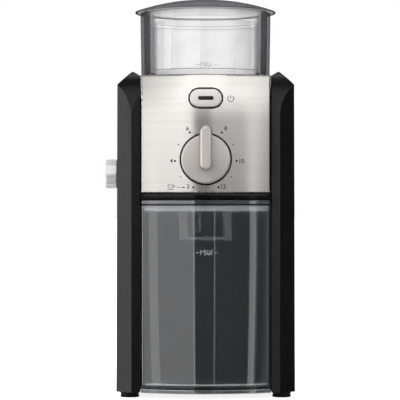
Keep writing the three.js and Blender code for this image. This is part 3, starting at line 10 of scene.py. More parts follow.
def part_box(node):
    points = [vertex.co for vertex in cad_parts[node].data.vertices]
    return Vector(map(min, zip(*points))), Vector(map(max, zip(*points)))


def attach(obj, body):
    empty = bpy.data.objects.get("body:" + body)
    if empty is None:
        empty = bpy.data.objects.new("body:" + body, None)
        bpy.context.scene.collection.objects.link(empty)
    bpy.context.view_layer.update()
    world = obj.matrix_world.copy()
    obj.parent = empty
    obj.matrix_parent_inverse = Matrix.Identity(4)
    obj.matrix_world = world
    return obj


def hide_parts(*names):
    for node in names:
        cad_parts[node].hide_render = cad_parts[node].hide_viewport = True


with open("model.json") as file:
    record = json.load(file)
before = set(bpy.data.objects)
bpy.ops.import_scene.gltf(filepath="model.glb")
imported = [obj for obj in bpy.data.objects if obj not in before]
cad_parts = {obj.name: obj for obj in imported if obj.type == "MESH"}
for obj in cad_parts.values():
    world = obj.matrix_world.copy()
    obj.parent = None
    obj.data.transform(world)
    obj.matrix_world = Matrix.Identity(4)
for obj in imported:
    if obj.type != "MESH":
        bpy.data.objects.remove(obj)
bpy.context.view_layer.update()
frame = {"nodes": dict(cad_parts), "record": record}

left_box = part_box("side_panel_left")
right_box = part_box("side_panel_right")
MIDDLE = (left_box[0].x + right_box[1].x) / 2
CREASE = left_box[0].y
MM = 0.001
SLOT_OF = {part["node"]: part["material_slot"] for part in frame["record"]["subparts"]}
BODY_OF = {node: body for body, nodes in frame["record"]["behaviour"]["bodies"].items() for node in nodes}
INSIDE_NODES = ("bay_back_wall", "head_floor", "grinding_chamber")  # black walls that nothing polishes

# Front
BAY_HALF = 42.6
INSIDE_HALF = 42.25
BOW_RADIUS = 95.0
BOW_CENTRE = 2.9 + math.sqrt(BOW_RADIUS**2 - BAY_HALF**2)
APEX = BOW_CENTRE - BOW_RADIUS
STEEL_BOTTOM = 132.8
DECK = 209.3
STEEL_THICKNESS = 0.8
STEEL_CORNER = 2.2
STEEL_ROLL = 0.7  # rounding of the steel's edges
STEEL_TOP_ROLL = 1.1
SHEET_STEP = 1.2  # longest stretch in the outline of a bowed sheet
PRINT_STAND = 0.04  # how far a mark stands out from what it is printed on

# Feet
FOOT_DEPTHS = {"front": 14, "rear": 140}
FOOT_SIDES = {"left": -49.5, "right": 49.5}
FOOT_PROFILE = [(0.01, 0), (5.7, 0), (6.1, 0.4), (6.2, 1.1), (5.75, 1.5), (5.75, 2.3), (6.2, 2.7), (6.2, 3.4)]
FOOT_PROFILE += [(5.9, 3.7), (2.6, 3.7), (2.6, 7.1), (0.01, 7.1)]

# Button and dial
BUTTON_HEIGHT = 193.7
BUTTON_LENGTH = 20.8
BUTTON_WIDTH = 11.7
BUTTON_STAND = 1.6
BUTTON_DEPTH = 6.8
BUTTON_EDGE = 1.0  # rounding of its face; the other names in EDGE mean the same
BUTTON_HOLE_GROW = 1.75
LENS_LENGTH = 10.2
LENS_WIDTH = 2.6
LENS_DEPTH = 0.8
DIAL_HEIGHT = 154.6
DIAL_HOLE = 16.9
DIAL_SHOWN = 15.9  # the disc itself, inside its gap
DIAL_EDGE = 1.3
DIAL_STAND = 3.5
DIAL_THICKNESS = 4.1
GRIP_WIDTH = 7.4
GRIP_TOP = 21.1
GRIP_BOTTOM = 7.3
GRIP_HEIGHT = 12.4
GRIP_EDGE = 1.5
CUP_STEP = 31.2  # degrees of dial for one cup
CUP_DOT_CIRCLE = 19.9
NUMBER_PLACES = {2: (-11.4, 136.9), 4: (-22.1, 153.4), 6: (-11.8, 174.1)}
NUMBER_PLACES |= {8: (12.7, 174.1), 10: (22.8, 153.2), 12: (11.0, 136.8)}
POWER_SIGN = (16.0, 193.5)

# Hopper
AXIS = 75.0
HOPPER_TOP = 255.6
HOPPER_TOP_RADIUS = 44.5
HOPPER_FOOT = 209.9
HOPPER_FOOT_RADIUS = 43.8
HOPPER_WALL = 2.2
BOWL_RADIUS = 38.9
BOWL_WALL = 1.6
BOWL_FLOOR = 215.8
BOWL_TOP = 248.5
THROAT_RADIUS = 12.3
THROAT_TOP = 188.0
THROAT_BOTTOM = 173.0
LID_RADIUS = 48.2
LID_RISE = 8.2
LID_WALL = 1.5
SKIRT_DEPTH = 5.4
HOPPER_LEVEL = 217.9

# Container
BOX_HALF = 42.2
BOX_DEPTH = 68.0
BOX_WALL = 1.8
FLOOR_WALL = 1.2
BOX_BOTTOM = 7.5
APRON_STEP = 6.1  # where the apron goes from its dark upper band to its pale lower one
APRON_BOTTOM = 3.5
BOX_TOP = 125.0
BOX_LID_TOP = 128.3
BOX_CORNER = 5.0
RIM_OUTER = 35.7
RIM_BOTTOM = 101.0
NOTCH_WIDTH = 24.0
NOTCH_BOTTOM = 103.4
LID_FLANGE_BOTTOM = 121.0
CHUTE_HALF = 9.0
CHUTE_FRONT = 45.5
CHUTE_BACK = 57.5
CONTAINER_LEVEL = 94.5

# Fineness knob, on an axis along x
FINE_HEIGHT = 146.2
KNOB_NEAR = -60.3
KNOB_REACH = 7.7
KNOB_RADIUS = 9.9
KNOB_EDGE = 1.1
KNOB_LOBES = 9
KNOB_PHASE = 22  # degrees to the first lobe
COLLAR_RADIUS = 12.2
COLLAR_BACK = -58.05
COLLAR_HOLE = 4.0

# Stage
CAMERA_PLACE = (-3.73, -1232.6, 128.3)
CAMERA_LENS = 171.9
FLOOR_HALF = 12  # metres, like the cards' heights below
FLOOR_LIGHT = 0.86
LOW, SPLIT, HIGH, TOP, CEILING = -0.5, 0.132, 0.39, 0.72, 2.5


def spot(x, y, z):
    """A place of the model, in metres of the row frame."""
    return Vector((MIDDLE + x * MM, CREASE + y * MM, z * MM))


def srgb(red, green, blue):
    """A colour as it looks on a screen, 0 to 255, as the linear values that a shader wants."""
    shares = (red / 255, green / 255, blue / 255)
    linear = [v / 12.92 if v <= 0.04045 else ((v + 0.055) / 1.055) ** 2.4 for v in shares]
    return (*linear, 1.0)


# Outlines


def spread(low, high, steps):
    """Evenly spaced values, both ends included."""
    return [low + (high - low) * i / steps for i in range(steps + 1)]


def bezier(a, corner, b, steps):
    """Points from a to b round a corner."""

    def point(t):
        return tuple((1 - t) ** 2 * p + 2 * t * (1 - t) * q + t**2 * r for p, q, r in zip(a, corner, b))

    return [point(i / steps) for i in range(steps + 1)]


def between(a, b, share):
    """The point at a share of the way from a to b."""
    return tuple(p + (q - p) * share for p, q in zip(a, b))


def toward(a, b, distance):
    """The point that lies at a distance from a on the way to b, at most 45% of it."""
    return between(a, b, min(distance / math.dist(a, b), 0.45))


def softened(points, radius, steps=3, closed=True):
    """A line with its corners rounded."""
    count = len(points)
    out = []
    for i, corner in enumerate(points):
        if not closed and i in (0, count - 1):
            out.append(corner)
            continue
        before = toward(corner, points[i - 1], radius)
        after = toward(corner, points[(i + 1) % count], radius)
        out += bezier(before, corner, after, steps)
    return out


def arc(u, v, radius, start, end, steps):
    return [(u + radius * math.cos(a), v + radius * math.sin(a)) for a in spread(start, end, steps)]


def circle(u, v, radius, steps=96):
    return arc(u, v, radius, 0, 2 * math.pi, steps)[:-1]


def quarter_round(radius, face, steps):
    """The rounding between a side and a face: how far in and at which level its points lie."""
    angles = spread(0, math.pi / 2, steps)
    return [(radius * (1 - math.cos(a)), face + radius * (1 - math.sin(a))) for a in angles]


def stadium(u, v, length, width, steps=16):
    half = (length - width) / 2
    quarter = math.pi / 2
    right = arc(u + half, v, width / 2, -quarter, quarter, steps)
    left = arc(u - half, v, width / 2, quarter, 3 * quarter, steps)
    return right + left


def rounded_rectangle(u0, u1, v0, v1, radius, steps=6):
    quarter = math.pi / 2
    left, right, low, high = u0 + radius, u1 - radius, v0 + radius, v1 - radius
    corners = [(right, high), (left, high), (left, low), (right, low)]
    out = []
    for i, (u, v) in enumerate(corners):
        out += arc(u, v, radius, i * quarter, (i + 1) * quarter, steps)
    return out


def divided(points, step):
    """A closed line with its long stretches divided, so that it can follow a bow."""
    out = []
    for a, b in zip(points, points[1:] + points[:1]):
        count = max(1, math.ceil(math.dist(a, b) / step))
        out += [between(a, b, i / count) for i in range(count)]
    return out


def bow(radius, x):
    """How far back the bow with this radius lies at x."""
    return BOW_CENTRE - math.sqrt(radius**2 - x**2)


def box_plan(inset, steps=48, corner=1.6):
    """The container seen from above: bowed front, straight sides, rounded back corners."""
    radius = BOW_RADIUS - inset
    half = BOX_HALF - inset
    edge = half - corner
    front = [(x, bow(radius, x)) for x in spread(-edge, edge, steps)]
    side = bow(radius, half)
    right = bezier(front[-1], (half, side), (half, side + corner), 4)[1:]
    left = bezier((-half, side + corner), (-half, side), front[0], 4)[:-1]
    back = BOX_DEPTH - inset
    round_back = max(BOX_CORNER - inset, 0.6)
    quarter = math.pi / 2
    rear = arc(half - round_back, back - round_back, round_back, 0, quarter, 6)
    rear += arc(round_back - half, back - round_back, round_back, quarter, 2 * quarter, 6)
    return front + right + rear + left


# Meshes


def placed(name, data):
    """A new object in the scene."""
    thing = bpy.data.objects.new(name, data)
    bpy.context.scene.collection.objects.link(thing)
    return thing


def keep(name, bm, material, body, angle=35):
    """Turns a bmesh in millimetres into a piece that rides on a body."""
    bmesh.ops.remove_doubles(bm, verts=bm.verts, dist=0.0005)
    bmesh.ops.recalc_face_normals(bm, faces=bm.faces)
    for vertex in bm.verts:
        vertex.co = spot(*vertex.co)
    limit = math.radians(angle)
    for face in bm.faces:
        face.smooth = True
    for edge in bm.edges:
        edge.smooth = len(edge.link_faces) == 2 and edge.calc_face_angle(math.pi) < limit
    data = bpy.data.meshes.new(name)
    bm.to_mesh(data)
    bm.free()
    data.materials.append(material)
    piece = placed(name, data)
    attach(piece, body)
    return piece


def add_loft(bm, rings, capped=True, joined=False):
    """Skins rings of points of the same count; the caps close the first and last ring."""
    rows = [[bm.verts.new(point) for point in ring] for ring in rings]
    count = len(rows[0])
    pairs = list(zip(rows, rows[1:]))
    if joined:
        pairs.append((rows[-1], rows[0]))
    for low, high in pairs:
        for i in range(count):
            j = (i + 1) % count
            bm.faces.new((low[i], low[j], high[j], high[i]))
    if capped and not joined:
        bm.faces.new(rows[0])
        bm.faces.new(rows[-1])


def loft(rings, capped=True, joined=False):
    bm = bmesh.new()
    add_loft(bm, rings, capped, joined)
    return bm


def turned(profile, centre, axis="z", steps=128, closed=True):
    """A turned form: profile points are (radius, level along the axis)."""
    bm = bmesh.new()
    rings = []
    for radius, level in profile:
        ring = []
        for i in range(steps):
            angle = 2 * math.pi * i / steps
            u, v = radius * math.cos(angle), radius * math.sin(angle)
            place = {"z": (u, v, level), "y": (u, level, v), "x": (level, u, v)}[axis]
            ring.append([p + c for p, c in zip(place, centre)])
        rings.append(ring)
    add_loft(bm, rings, capped=False, joined=closed)
    bmesh.ops.remove_doubles(bm, verts=bm.verts, dist=0.0005)
    bmesh.ops.dissolve_degenerate(bm, edges=bm.edges, dist=0.0001)
    return bm


def bevelled(bm, width):
    """A bmesh with the edges that turn by more than 40 degrees softened."""
    bmesh.ops.recalc_face_normals(bm, faces=bm.faces)
    if width:
        sharp = [e for e in bm.edges if e.calc_face_angle(0) > math.radians(40)]
        bmesh.ops.bevel(bm, geom=sharp, offset=width, segments=2, profile=0.5, affect="EDGES")
    return bm


def blocked(xs, ys, zs, edge=0.0):
    """A box with softened edges."""
    outline = [(xs[0], ys[0]), (xs[1], ys[0]), (xs[1], ys[1]), (xs[0], ys[1])]
    return bevelled(loft([[(x, y, z) for x, y in outline] for z in zs]), edge)


def prism(outline, ys, edge=0.0):
    """An outline in x and z pushed along y, with softened ends."""
    return bevelled(loft([[(x, y, z) for x, z in outline] for y in ys]), edge)


def merged(*parts):
    """One bmesh out of several."""
    whole = bmesh.new()
    for part in parts:
        data = bpy.data.meshes.new("part")
        part.to_mesh(data)
        part.free()
        whole.from_mesh(data)
        bpy.data.meshes.remove(data)
    return whole


def carved(solid, *cutters):
    """A bmesh with others cut out of it."""
    made = []
    for i, bm in enumerate((solid, *cutters)):
        bmesh.ops.recalc_face_normals(bm, faces=bm.faces)
        data = bpy.data.meshes.new(f"carve_{i}")
        bm.to_mesh(data)
        bm.free()
        made.append(placed(f"carve_{i}", data))
    for cutter in made[1:]:
        step = made[0].modifiers.new("cut", "BOOLEAN")
        step.operation = "DIFFERENCE"
        step.solver = "EXACT"
        step.object = cutter
    bpy.context.view_layer.update()
    view = bpy.context.evaluated_depsgraph_get()
    out = bmesh.new()
    out.from_mesh(made[0].evaluated_get(view).data)
    for thing in made:
        data = thing.data
        bpy.data.objects.remove(thing)
        bpy.data.meshes.remove(data)
    return out


def refined(node, material, width=0.45, turn=28):
    """A copy of a CAD node with its flat faces whole, its edges softened and its bows shaded smooth."""
    source = frame["nodes"][node]
    bm = bmesh.new()
    bm.from_mesh(source.data)
    back = source.matrix_world
    for vertex in bm.verts:
        place = back @ vertex.co
        vertex.co = ((place.x - MIDDLE) / MM, (place.y - CREASE) / MM, place.z / MM)
    bmesh.ops.remove_doubles(bm, verts=bm.verts, dist=0.002)
    bmesh.ops.dissolve_degenerate(bm, edges=bm.edges, dist=0.004)
    bmesh.ops.dissolve_limit(bm, angle_limit=math.radians(0.7), verts=bm.verts, edges=bm.edges)
    bmesh.ops.recalc_face_normals(bm, faces=bm.faces)
    sharp = [e for e in bm.edges if len(e.link_faces) == 2 and e.calc_face_angle(0) > math.radians(turn)]
    sharp = [e for e in sharp if e.calc_length() > 0.05]
    bmesh.ops.bevel(bm, geom=sharp, offset=width, segments=2, profile=0.5, affect="EDGES", clamp_overlap=True)
    piece = keep(f"{node}_skin", bm, material, BODY_OF[node], angle=turn)
    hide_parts(node)


# Materials


class Nodes:
    """The node tree of a material or world, with short calls to add and link nodes."""

    def __init__(self, owner, output="ShaderNodeOutputMaterial"):
        owner.use_nodes = True
        self.owner = owner
        self.tree = owner.node_tree
        self.tree.nodes.clear()
        self.out = self.tree.nodes.new(output)

    def add(self, kind, inputs=None, **settings):
        node = self.tree.nodes.new(kind)
        for key, value in settings.items():
            setattr(node, key, value)
        for key, value in (inputs or {}).items():
            if isinstance(value, bpy.types.NodeSocket):
                self.tree.links.new(value, node.inputs[key])
            else:
                node.inputs[key].default_value = value
        return node

    def show(self, shader):
        """Makes a shader the look of the material or world, which it hands back."""
        self.tree.links.new(shader.outputs[0], self.out.inputs[0])
        return self.owner

    def calc(self, operation, *values):
        return self.add("ShaderNodeMath", dict(enumerate(values)), operation=operation).outputs[0]

    def blend(self, share, first, second):
        """One shader that goes over into another."""
        return self.add("ShaderNodeMixShader", {0: share, 1: first.outputs[0], 2: second.outputs[0]})

    def noise(self, scale, stretch=(1, 1, 1), detail=3, rough=0.6, shift=0.0):
        """Noise over the object's own coordinates; scale is in waves per metre."""
        coords = self.add("ShaderNodeTexCoord").outputs["Object"]
        inputs = {"Vector": coords, "Scale": stretch, "Location": (shift, shift, shift)}
        mapping = self.add("ShaderNodeMapping", inputs)
        inputs = {"Vector": mapping.outputs[0], "Scale": scale, "Detail": detail, "Roughness": rough}
        return self.add("ShaderNodeTexNoise", inputs).outputs["Fac"]

    def range(self, value, low, high, start=0.3, stop=0.7):
        """The value, carried over from one range to another and held inside it."""
        inputs = {"Value": value, "From Min": start, "From Max": stop, "To Min": low, "To Max": high}
        return self.add("ShaderNodeMapRange", inputs).outputs[0]

    def tone(self, color, factor, spread):
        """The colour, a little darker and lighter where the factor is low and high."""
        mix = self.add("ShaderNodeMix", {"Factor": factor}, data_type="RGBA")
        dark = tuple(c * (1 - spread) for c in color[:3]) + (1,)
        light = tuple(min(c * (1 + spread), 1) for c in color[:3]) + (1,)
        mix.inputs[6].default_value = dark
        mix.inputs[7].default_value = light
        return mix.outputs[2]

    def bump(self, height, distance, normal=None):
        node = self.add("ShaderNodeBump", {"Height": height, "Distance": distance, "Strength": 1.0})
        if normal:
            self.tree.links.new(normal, node.inputs["Normal"])
        return node.outputs[0]

    def leaned(self, start, stop, amount):
        """The surface's normal, turned up more and more between two heights, as on a bent sheet."""
        coords = self.add("ShaderNodeTexCoord")
        height = self.add("ShaderNodeSeparateXYZ", {0: coords.outputs["Object"]}).outputs["Z"]
        rise = self.range(height, 0, amount, start * MM, stop * MM)
        up = self.add("ShaderNodeCombineXYZ", {"Z": rise}).outputs[0]
        level = self.add("ShaderNodeNewGeometry").outputs["Normal"]
        both = self.add("ShaderNodeVectorMath", {0: level, 1: up}, operation="ADD").outputs[0]
        return self.add("ShaderNodeVectorMath", {0: both}, operation="NORMALIZE").outputs[0]


def finish(name, color, roughness, metallic=0.0, spread=0.08, rough_spread=0.06, mottle=60, grain=2200,
           grain_stretch=(1, 1, 1), depth=0.02, specular=0.5):
    """A solid material: mottled colour, uneven roughness and a fine grain."""
    nodes = Nodes(bpy.data.materials.new(name))
    broad = nodes.noise(mottle)
    fine = nodes.noise(grain, grain_stretch, shift=3.1)
    inputs = {
        "Base Color": nodes.tone(color, nodes.range(broad, 0, 1), spread),
        "Roughness": nodes.range(fine, roughness - rough_spread, roughness + rough_spread),
        "Metallic": metallic,
        "Specular IOR Level": specular,
        "Normal": nodes.bump(fine, depth * MM),
    }
    return nodes.show(nodes.add("ShaderNodeBsdfPrincipled", inputs))


def brushed(name, color, roughness, streaks, spread=0.05, depth=0.006, anisotropic=0.65, lean=None):
    """Brushed metal: streaks drawn out along one direction, with the highlight spread across them."""
    nodes = Nodes(bpy.data.materials.new(name))
    broad = nodes.noise(25)
    fine = nodes.noise(1.0, streaks, detail=4, rough=0.7)
    wide = nodes.noise(1.0, tuple(s * 0.22 for s in streaks), detail=2, shift=7.3)
    both = nodes.calc("ADD", fine, wide)
    half = nodes.calc("MULTIPLY", both, 0.5)
    mixed = nodes.calc("ADD", half, nodes.range(broad, -0.05, 0.05))
    around = nodes.add("ShaderNodeTangent", direction_type="RADIAL", axis="Z")
    normal = nodes.leaned(*lean) if lean else None
    inputs = {
        "Base Color": nodes.tone(color, nodes.range(mixed, 0, 1, 0.35, 0.65), spread),
        "Roughness": nodes.range(fine, roughness - 0.03, roughness + 0.03),
        "Metallic": 1.0,
        "Anisotropic": anisotropic,
        "Anisotropic Rotation": 0.25,
        "Tangent": around.outputs[0],
        "Normal": nodes.bump(fine, depth * MM, normal=normal),
    }
    return nodes.show(nodes.add("ShaderNodeBsdfPrincipled", inputs))


HAZE = 0.36  # in the container's outer faces; it also keeps the denoiser's picture of them clean


def outer_faces(nodes):
    """1 on the container's polished outer faces, 0 on its matt inner ones."""
    place = nodes.add("ShaderNodeSeparateXYZ", {0: nodes.add("ShaderNodeTexCoord").outputs["Object"]})
    front = nodes.calc("LESS_THAN", place.outputs["Y"], CREASE + 12 * MM)
    across = nodes.calc("SUBTRACT", place.outputs["X"], MIDDLE)
    across = nodes.calc("ABSOLUTE", across)
    side = nodes.calc("GREATER_THAN", across, (BOX_HALF - 0.3) * MM)
    return nodes.calc("MAXIMUM", front, side)


def film(name, color, clear, dense, start=0.3, stop=0.9, gloss=0.04, slant=0.9, within=1.0,
         matt_inside=False):
    """See-through plastic: denser where it is seen at a slant, with a gloss that grows there too.
    Its colour covers a share from clear, square on, to dense, and within times that from the inside. It
    mirrors from gloss, square on, to slant, from the outside alone. Where matt_inside is set, only the
    container's outer faces do, and they are a little hazy."""
    nodes = Nodes(bpy.data.materials.new(name))
    haze = nodes.noise(70, shift=1.7)
    fine = nodes.noise(900, shift=5.9)
    weight = nodes.add("ShaderNodeLayerWeight", {"Blend": 0.5}).outputs["Facing"]
    behind = nodes.add("ShaderNodeNewGeometry").outputs["Backfacing"]
    cover = nodes.range(weight, clear, dense, start, stop)
    if within < 1:
        share = nodes.range(behind, 1, within, 0, 1)
        cover = nodes.calc("MULTIPLY", cover, share)
    uneven = nodes.calc("ADD", cover, nodes.range(haze, -0.012, 0.012))
    uneven.node.use_clamp = True
    tint = nodes.tone(color, nodes.range(haze, 0, 1), 0.06)
    inputs = {"Base Color": tint, "Roughness": 0.35, "Specular IOR Level": 0.0}
    solid = nodes.add("ShaderNodeBsdfPrincipled", inputs)
    through = nodes.add("ShaderNodeBsdfTransparent")
    outward = nodes.calc("SUBTRACT", 1.0, behind)
    if matt_inside:
        # Faint haze in the polished outer faces: light from inside scatters on its way out
        hazy = nodes.calc("MULTIPLY", outward, outer_faces(nodes))
        hazy = nodes.calc("MULTIPLY", hazy, HAZE)
        scatter = nodes.add("ShaderNodeBsdfTranslucent", {"Color": (1, 1, 1, 1)})
        through = nodes.blend(hazy, through, scatter)
    body = nodes.blend(uneven, through, solid)
    polish = nodes.range(fine, 0.035, 0.065)
    shine = nodes.add("ShaderNodeBsdfAnisotropic", {"Roughness": polish})
    steep = nodes.calc("POWER", weight, 5.0)
    mirror = nodes.calc("MULTIPLY", nodes.range(steep, gloss, slant, 0, 1), outward)
    if matt_inside:
        mirror = nodes.calc("MULTIPLY", mirror, outer_faces(nodes))
    return nodes.show(nodes.blend(mirror, body, shine))


BLACK = finish("black_plastic", (0.0042, 0.0042, 0.0044, 1), 0.3, spread=0.25, grain=2600, depth=0.012,
               specular=0.25)
BLACK_INSIDE = finish("black_inside", (0.0052, 0.0052, 0.0055, 1), 0.7, spread=0.25, grain=2600, depth=0.012,
                      specular=0.04)
GLOSS = finish("gloss_black", (0.003, 0.003, 0.0032, 1), 0.12, spread=0.2, rough_spread=0.03, grain=900,
               depth=0.002, specular=0.2)
STEEL = brushed("brushed_steel", (0.635, 0.612, 0.59, 1), 0.24, (9, 9, 2600), spread=0.035, depth=0.001,
                anisotropic=0.7, lean=(180, 201, 0.165))
SATIN = finish("satin_silver", (0.60, 0.565, 0.54, 1), 0.42, metallic=0.75, spread=0.05, grain=3200,
               depth=0.006)
SATIN_CAP = finish("satin_silver_cap", (0.70, 0.66, 0.635, 1), 0.42, metallic=0.6, spread=0.04, grain=3200,
                   depth=0.006)
SATIN_SIDE = finish("satin_silver_side", (0.80, 0.765, 0.74, 1), 0.42, metallic=0.4, spread=0.04, grain=3200,
                    depth=0.006)
CLEAR = film("clear_plastic", srgb(74, 74, 77), 0.02, 0.6, 0.38, 0.52)
BOWL = film("clear_bowl", srgb(100, 99, 106), 0.04, 0.27, 0.05, 0.5, slant=0.25)
LID = film("lid_plastic", srgb(102, 101, 106), 0.22, 0.86, 0.66, 0.76, within=0.6)
# The brim's film, darker and denser than the lid's: painted shade
LID_BRIM_SHADE = film("lid_brim_shade", srgb(52, 52, 55), 0.85, 0.95, 0.2, 0.9, within=0.2)
SMOKE = film("smoke_plastic", srgb(70, 73, 79), 0.13, 0.92, gloss=0.26, matt_inside=True)
# Near white and nearly solid: painted light on the flange inside the container
FLANGE_PAINTED_LIGHT = film("flange_painted_light", srgb(244, 245, 247), 0.92, 0.95, gloss=0.1, matt_inside=True)
# Near white and nearly solid: painted light on the rim round the notch
RIM_PAINTED_LIGHT = film("rim_painted_light", srgb(252, 253, 255), 0.97, 0.98, gloss=0.01, slant=0.1)
SMOKE_BASE = film("smoke_base", srgb(84, 86, 90), 0.82, 0.95, gloss=0.26)
# The apron's dark band and pale hem: darker and lighter copies of the smoke plastic, painted shade and
# painted light
APRON_SHADE = film("apron_painted_shade", srgb(30, 31, 33), 0.9, 0.95, gloss=0.05)
APRON_LIGHT = film("apron_painted_light", srgb(150, 151, 154), 0.9, 0.95)
FAINT = film("faint_flange", srgb(150, 150, 155), 0.05, 0.12, gloss=0.02, slant=0.05)
# Thin dark lines at clear edges: painted shade
SHADE_LINE_FILM = film("painted_shade_line", srgb(62, 62, 66), 0.5, 0.65, gloss=0.02, slant=0.1)
LENS = finish("dark_lens", srgb(30, 28, 31), 0.2, spread=0.15, rough_spread=0.03, depth=0.001, specular=0.2)
RUBBER = finish("rubber", (0.011, 0.011, 0.011, 1), 0.75, spread=0.3, grain=1800, depth=0.03, specular=0.3)
NYLON = finish("nylon", srgb(222, 219, 208), 0.45, spread=0.05, grain=1500, depth=0.01)
BURR = brushed("burr_steel", srgb(160, 160, 162), 0.34, (60, 60, 60), anisotropic=0.3)
ZINC = finish("zinc_steel", srgb(176, 176, 174), 0.36, metallic=1.0, spread=0.1, grain=900, depth=0.008)
BRONZE = finish("bronze", srgb(160, 116, 68), 0.4, metallic=1.0, spread=0.12, grain=1400, depth=0.012)
COPPER = finish("copper", srgb(168, 92, 52), 0.32, metallic=1.0, spread=0.12, grain=500,
                grain_stretch=(1, 1, 5), depth=0.05)
BOARD = finish("board", srgb(44, 90, 58), 0.4, spread=0.15, grain=700, depth=0.02)
# White strips along edges: painted highlights
PAINTED_HIGHLIGHT = finish("painted_highlight_white", srgb(250, 251, 252), 0.3, spread=0.02, depth=0.001)
INK = finish("dark_ink", srgb(24, 23, 22), 0.5, spread=0.1, depth=0.001)
PALE_INK = finish("grey_ink", srgb(120, 120, 124), 0.5, spread=0.08, depth=0.001)
WHITE_INK = finish("white_ink", srgb(176, 178, 181), 0.5, spread=0.04, depth=0.001)

MATERIAL_OF = dict(
    black_plastic=BLACK, gloss_black=GLOSS, steel_panel=STEEL, satin_silver=SATIN, clear_plastic=CLEAR,
    lid_plastic=LID, smoke_plastic=SMOKE, dark_lens=LENS, rubber=RUBBER, nylon=NYLON, burr_steel=BURR,
    zinc_steel=ZINC, bronze=BRONZE, copper=COPPER, board=BOARD,
)


def dress_nodes():
    """Gives every CAD node the material of its slot."""
    for node, thing in frame["nodes"].items():
        thing.data.materials.clear()
        thing.data.materials.append(BLACK_INSIDE if node in INSIDE_NODES else MATERIAL_OF[SLOT_OF[node]])


# Housing


def build_shells():
    for node in ("side_panel_left", "side_panel_right"):
        refined(node, BLACK, 0.5)
    refined("front_frame", GLOSS, 0.25)
    for node in ("top_deck", "rear_cover", "base_plate"):
        refined(node, BLACK, 0.3)


def inside(outlines, point):
    """Whether a point is inside the first outline and outside the others."""

    def within(outline):
        x, y = point
        hit = False
        for (x0, y0), (x1, y1) in zip(outline, outline[1:] + outline[:1]):
            if (y0 > y) != (y1 > y) and x < (x1 - x0) * (y - y0) / (y1 - y0) + x0:
                hit = not hit
        return hit

    return within(outlines[0]) and not any(within(outline) for outline in outlines[1:])


def sheet_mesh(outlines, extra, front, back):
    """A sheet with holes: outlines and loose points in x and z, which front and back put in place."""
    points, edges = [], []
    for outline in outlines:
        start = len(points)
        points += [Vector(p) for p in outline]
        edges += [(start + i, start + (i + 1) % len(outline)) for i in range(len(outline))]
    points += [Vector(p) for p in extra]
    verts, _, faces, _, _, _ = delaunay_2d_cdt(points, edges, [], 0, 1e-4)
    bm = bmesh.new()
    near = [bm.verts.new(front(*v)) for v in verts]
    far = [bm.verts.new(back(*v)) for v in verts]
    used = set()
    for face in faces:
        middle = (sum(verts[i].x for i in face) / len(face), sum(verts[i].y for i in face) / len(face))
        if not inside(outlines, middle):
            continue
        bm.faces.new([near[i] for i in face])
        bm.faces.new([far[i] for i in reversed(face)])
        for a, b in zip(face, face[1:] + face[:1]):
            used.add((a, b))
    for a, b in used:
        if (b, a) not in used:
            bm.faces.new((near[a], far[a], far[b], near[b]))
    loose = [v for v in bm.verts if not v.link_faces]
    bmesh.ops.delete(bm, geom=loose, context="VERTS")
    return bm


def build_front_panel():
    """The steel skin: bowed, its edges rolled back, a round hole and a stadium hole."""

    def lines(low, high, low_roll, high_roll):
        """Where the grid's lines lie: close together in the rolled edges, evenly between them."""
        steps = (0, 0.06, 0.2, 0.4, STEEL_ROLL)
        values = [low + low_roll * s / STEEL_ROLL for s in steps]
        values += [high - high_roll * s / STEEL_ROLL for s in steps]
        return sorted(values + spread(low, high, round((high - low) / 1.6))[1:-1])

    def outlines(inset, dial_grow, button_grow):
        """The edge and the two holes; a grid point stays clear of them."""
        half, grow = INSIDE_HALF - inset, BUTTON_HOLE_GROW + button_grow
        return [
            rounded_rectangle(-half, half, STEEL_BOTTOM + inset, DECK - inset, STEEL_CORNER),
            circle(0, DIAL_HEIGHT, DIAL_HOLE + dial_grow),
            stadium(0, BUTTON_HEIGHT, BUTTON_LENGTH + grow, BUTTON_WIDTH + grow),
        ]

    def fall(distance, roll):
        return 0 if distance >= roll else roll - math.sqrt(max(roll**2 - (roll - distance) ** 2, 0))

    def depth(x, z):
        side = fall(INSIDE_HALF - abs(x), STEEL_ROLL)
        return max(side, fall(z - STEEL_BOTTOM, STEEL_ROLL), fall(DECK - z, STEEL_TOP_ROLL))

    def front(x, z):
        return (x, bow(BOW_RADIUS, x) + depth(x, z), z)

    def back(x, z):
        return (x, bow(BOW_RADIUS - STEEL_THICKNESS, x) + depth(x, z), z)

    columns = lines(-INSIDE_HALF, INSIDE_HALF, STEEL_ROLL, STEEL_ROLL)
    rows = lines(STEEL_BOTTOM, DECK, STEEL_ROLL, STEEL_TOP_ROLL)
    clear = outlines(0.05, 0.15, 0.3)
    extra = [(x, z) for x in columns for z in rows if inside(clear, (x, z))]
    edge, dial, button = outlines(0, 0, 0)
    bm = sheet_mesh([divided(edge, SHEET_STEP), dial, divided(button, SHEET_STEP)], extra, front, back)
    piece = keep("steel_skin", bm, STEEL, "housing", angle=40)
    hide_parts("front_panel")


def build_feet():
    for place, depth in FOOT_DEPTHS.items():
        for hand, x in FOOT_SIDES.items():
            bm = turned(FOOT_PROFILE, (x, depth, 0), steps=48)
            piece = keep(f"foot_{place}_{hand}_round", bm, RUBBER, "housing", angle=50)
            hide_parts(f"foot_{place}_{hand}")


# Hopper


def on_axis(profile, closed=True):
    """A form turned about the hopper's axis."""
    return turned(profile, (0, AXIS, 0), closed=closed)


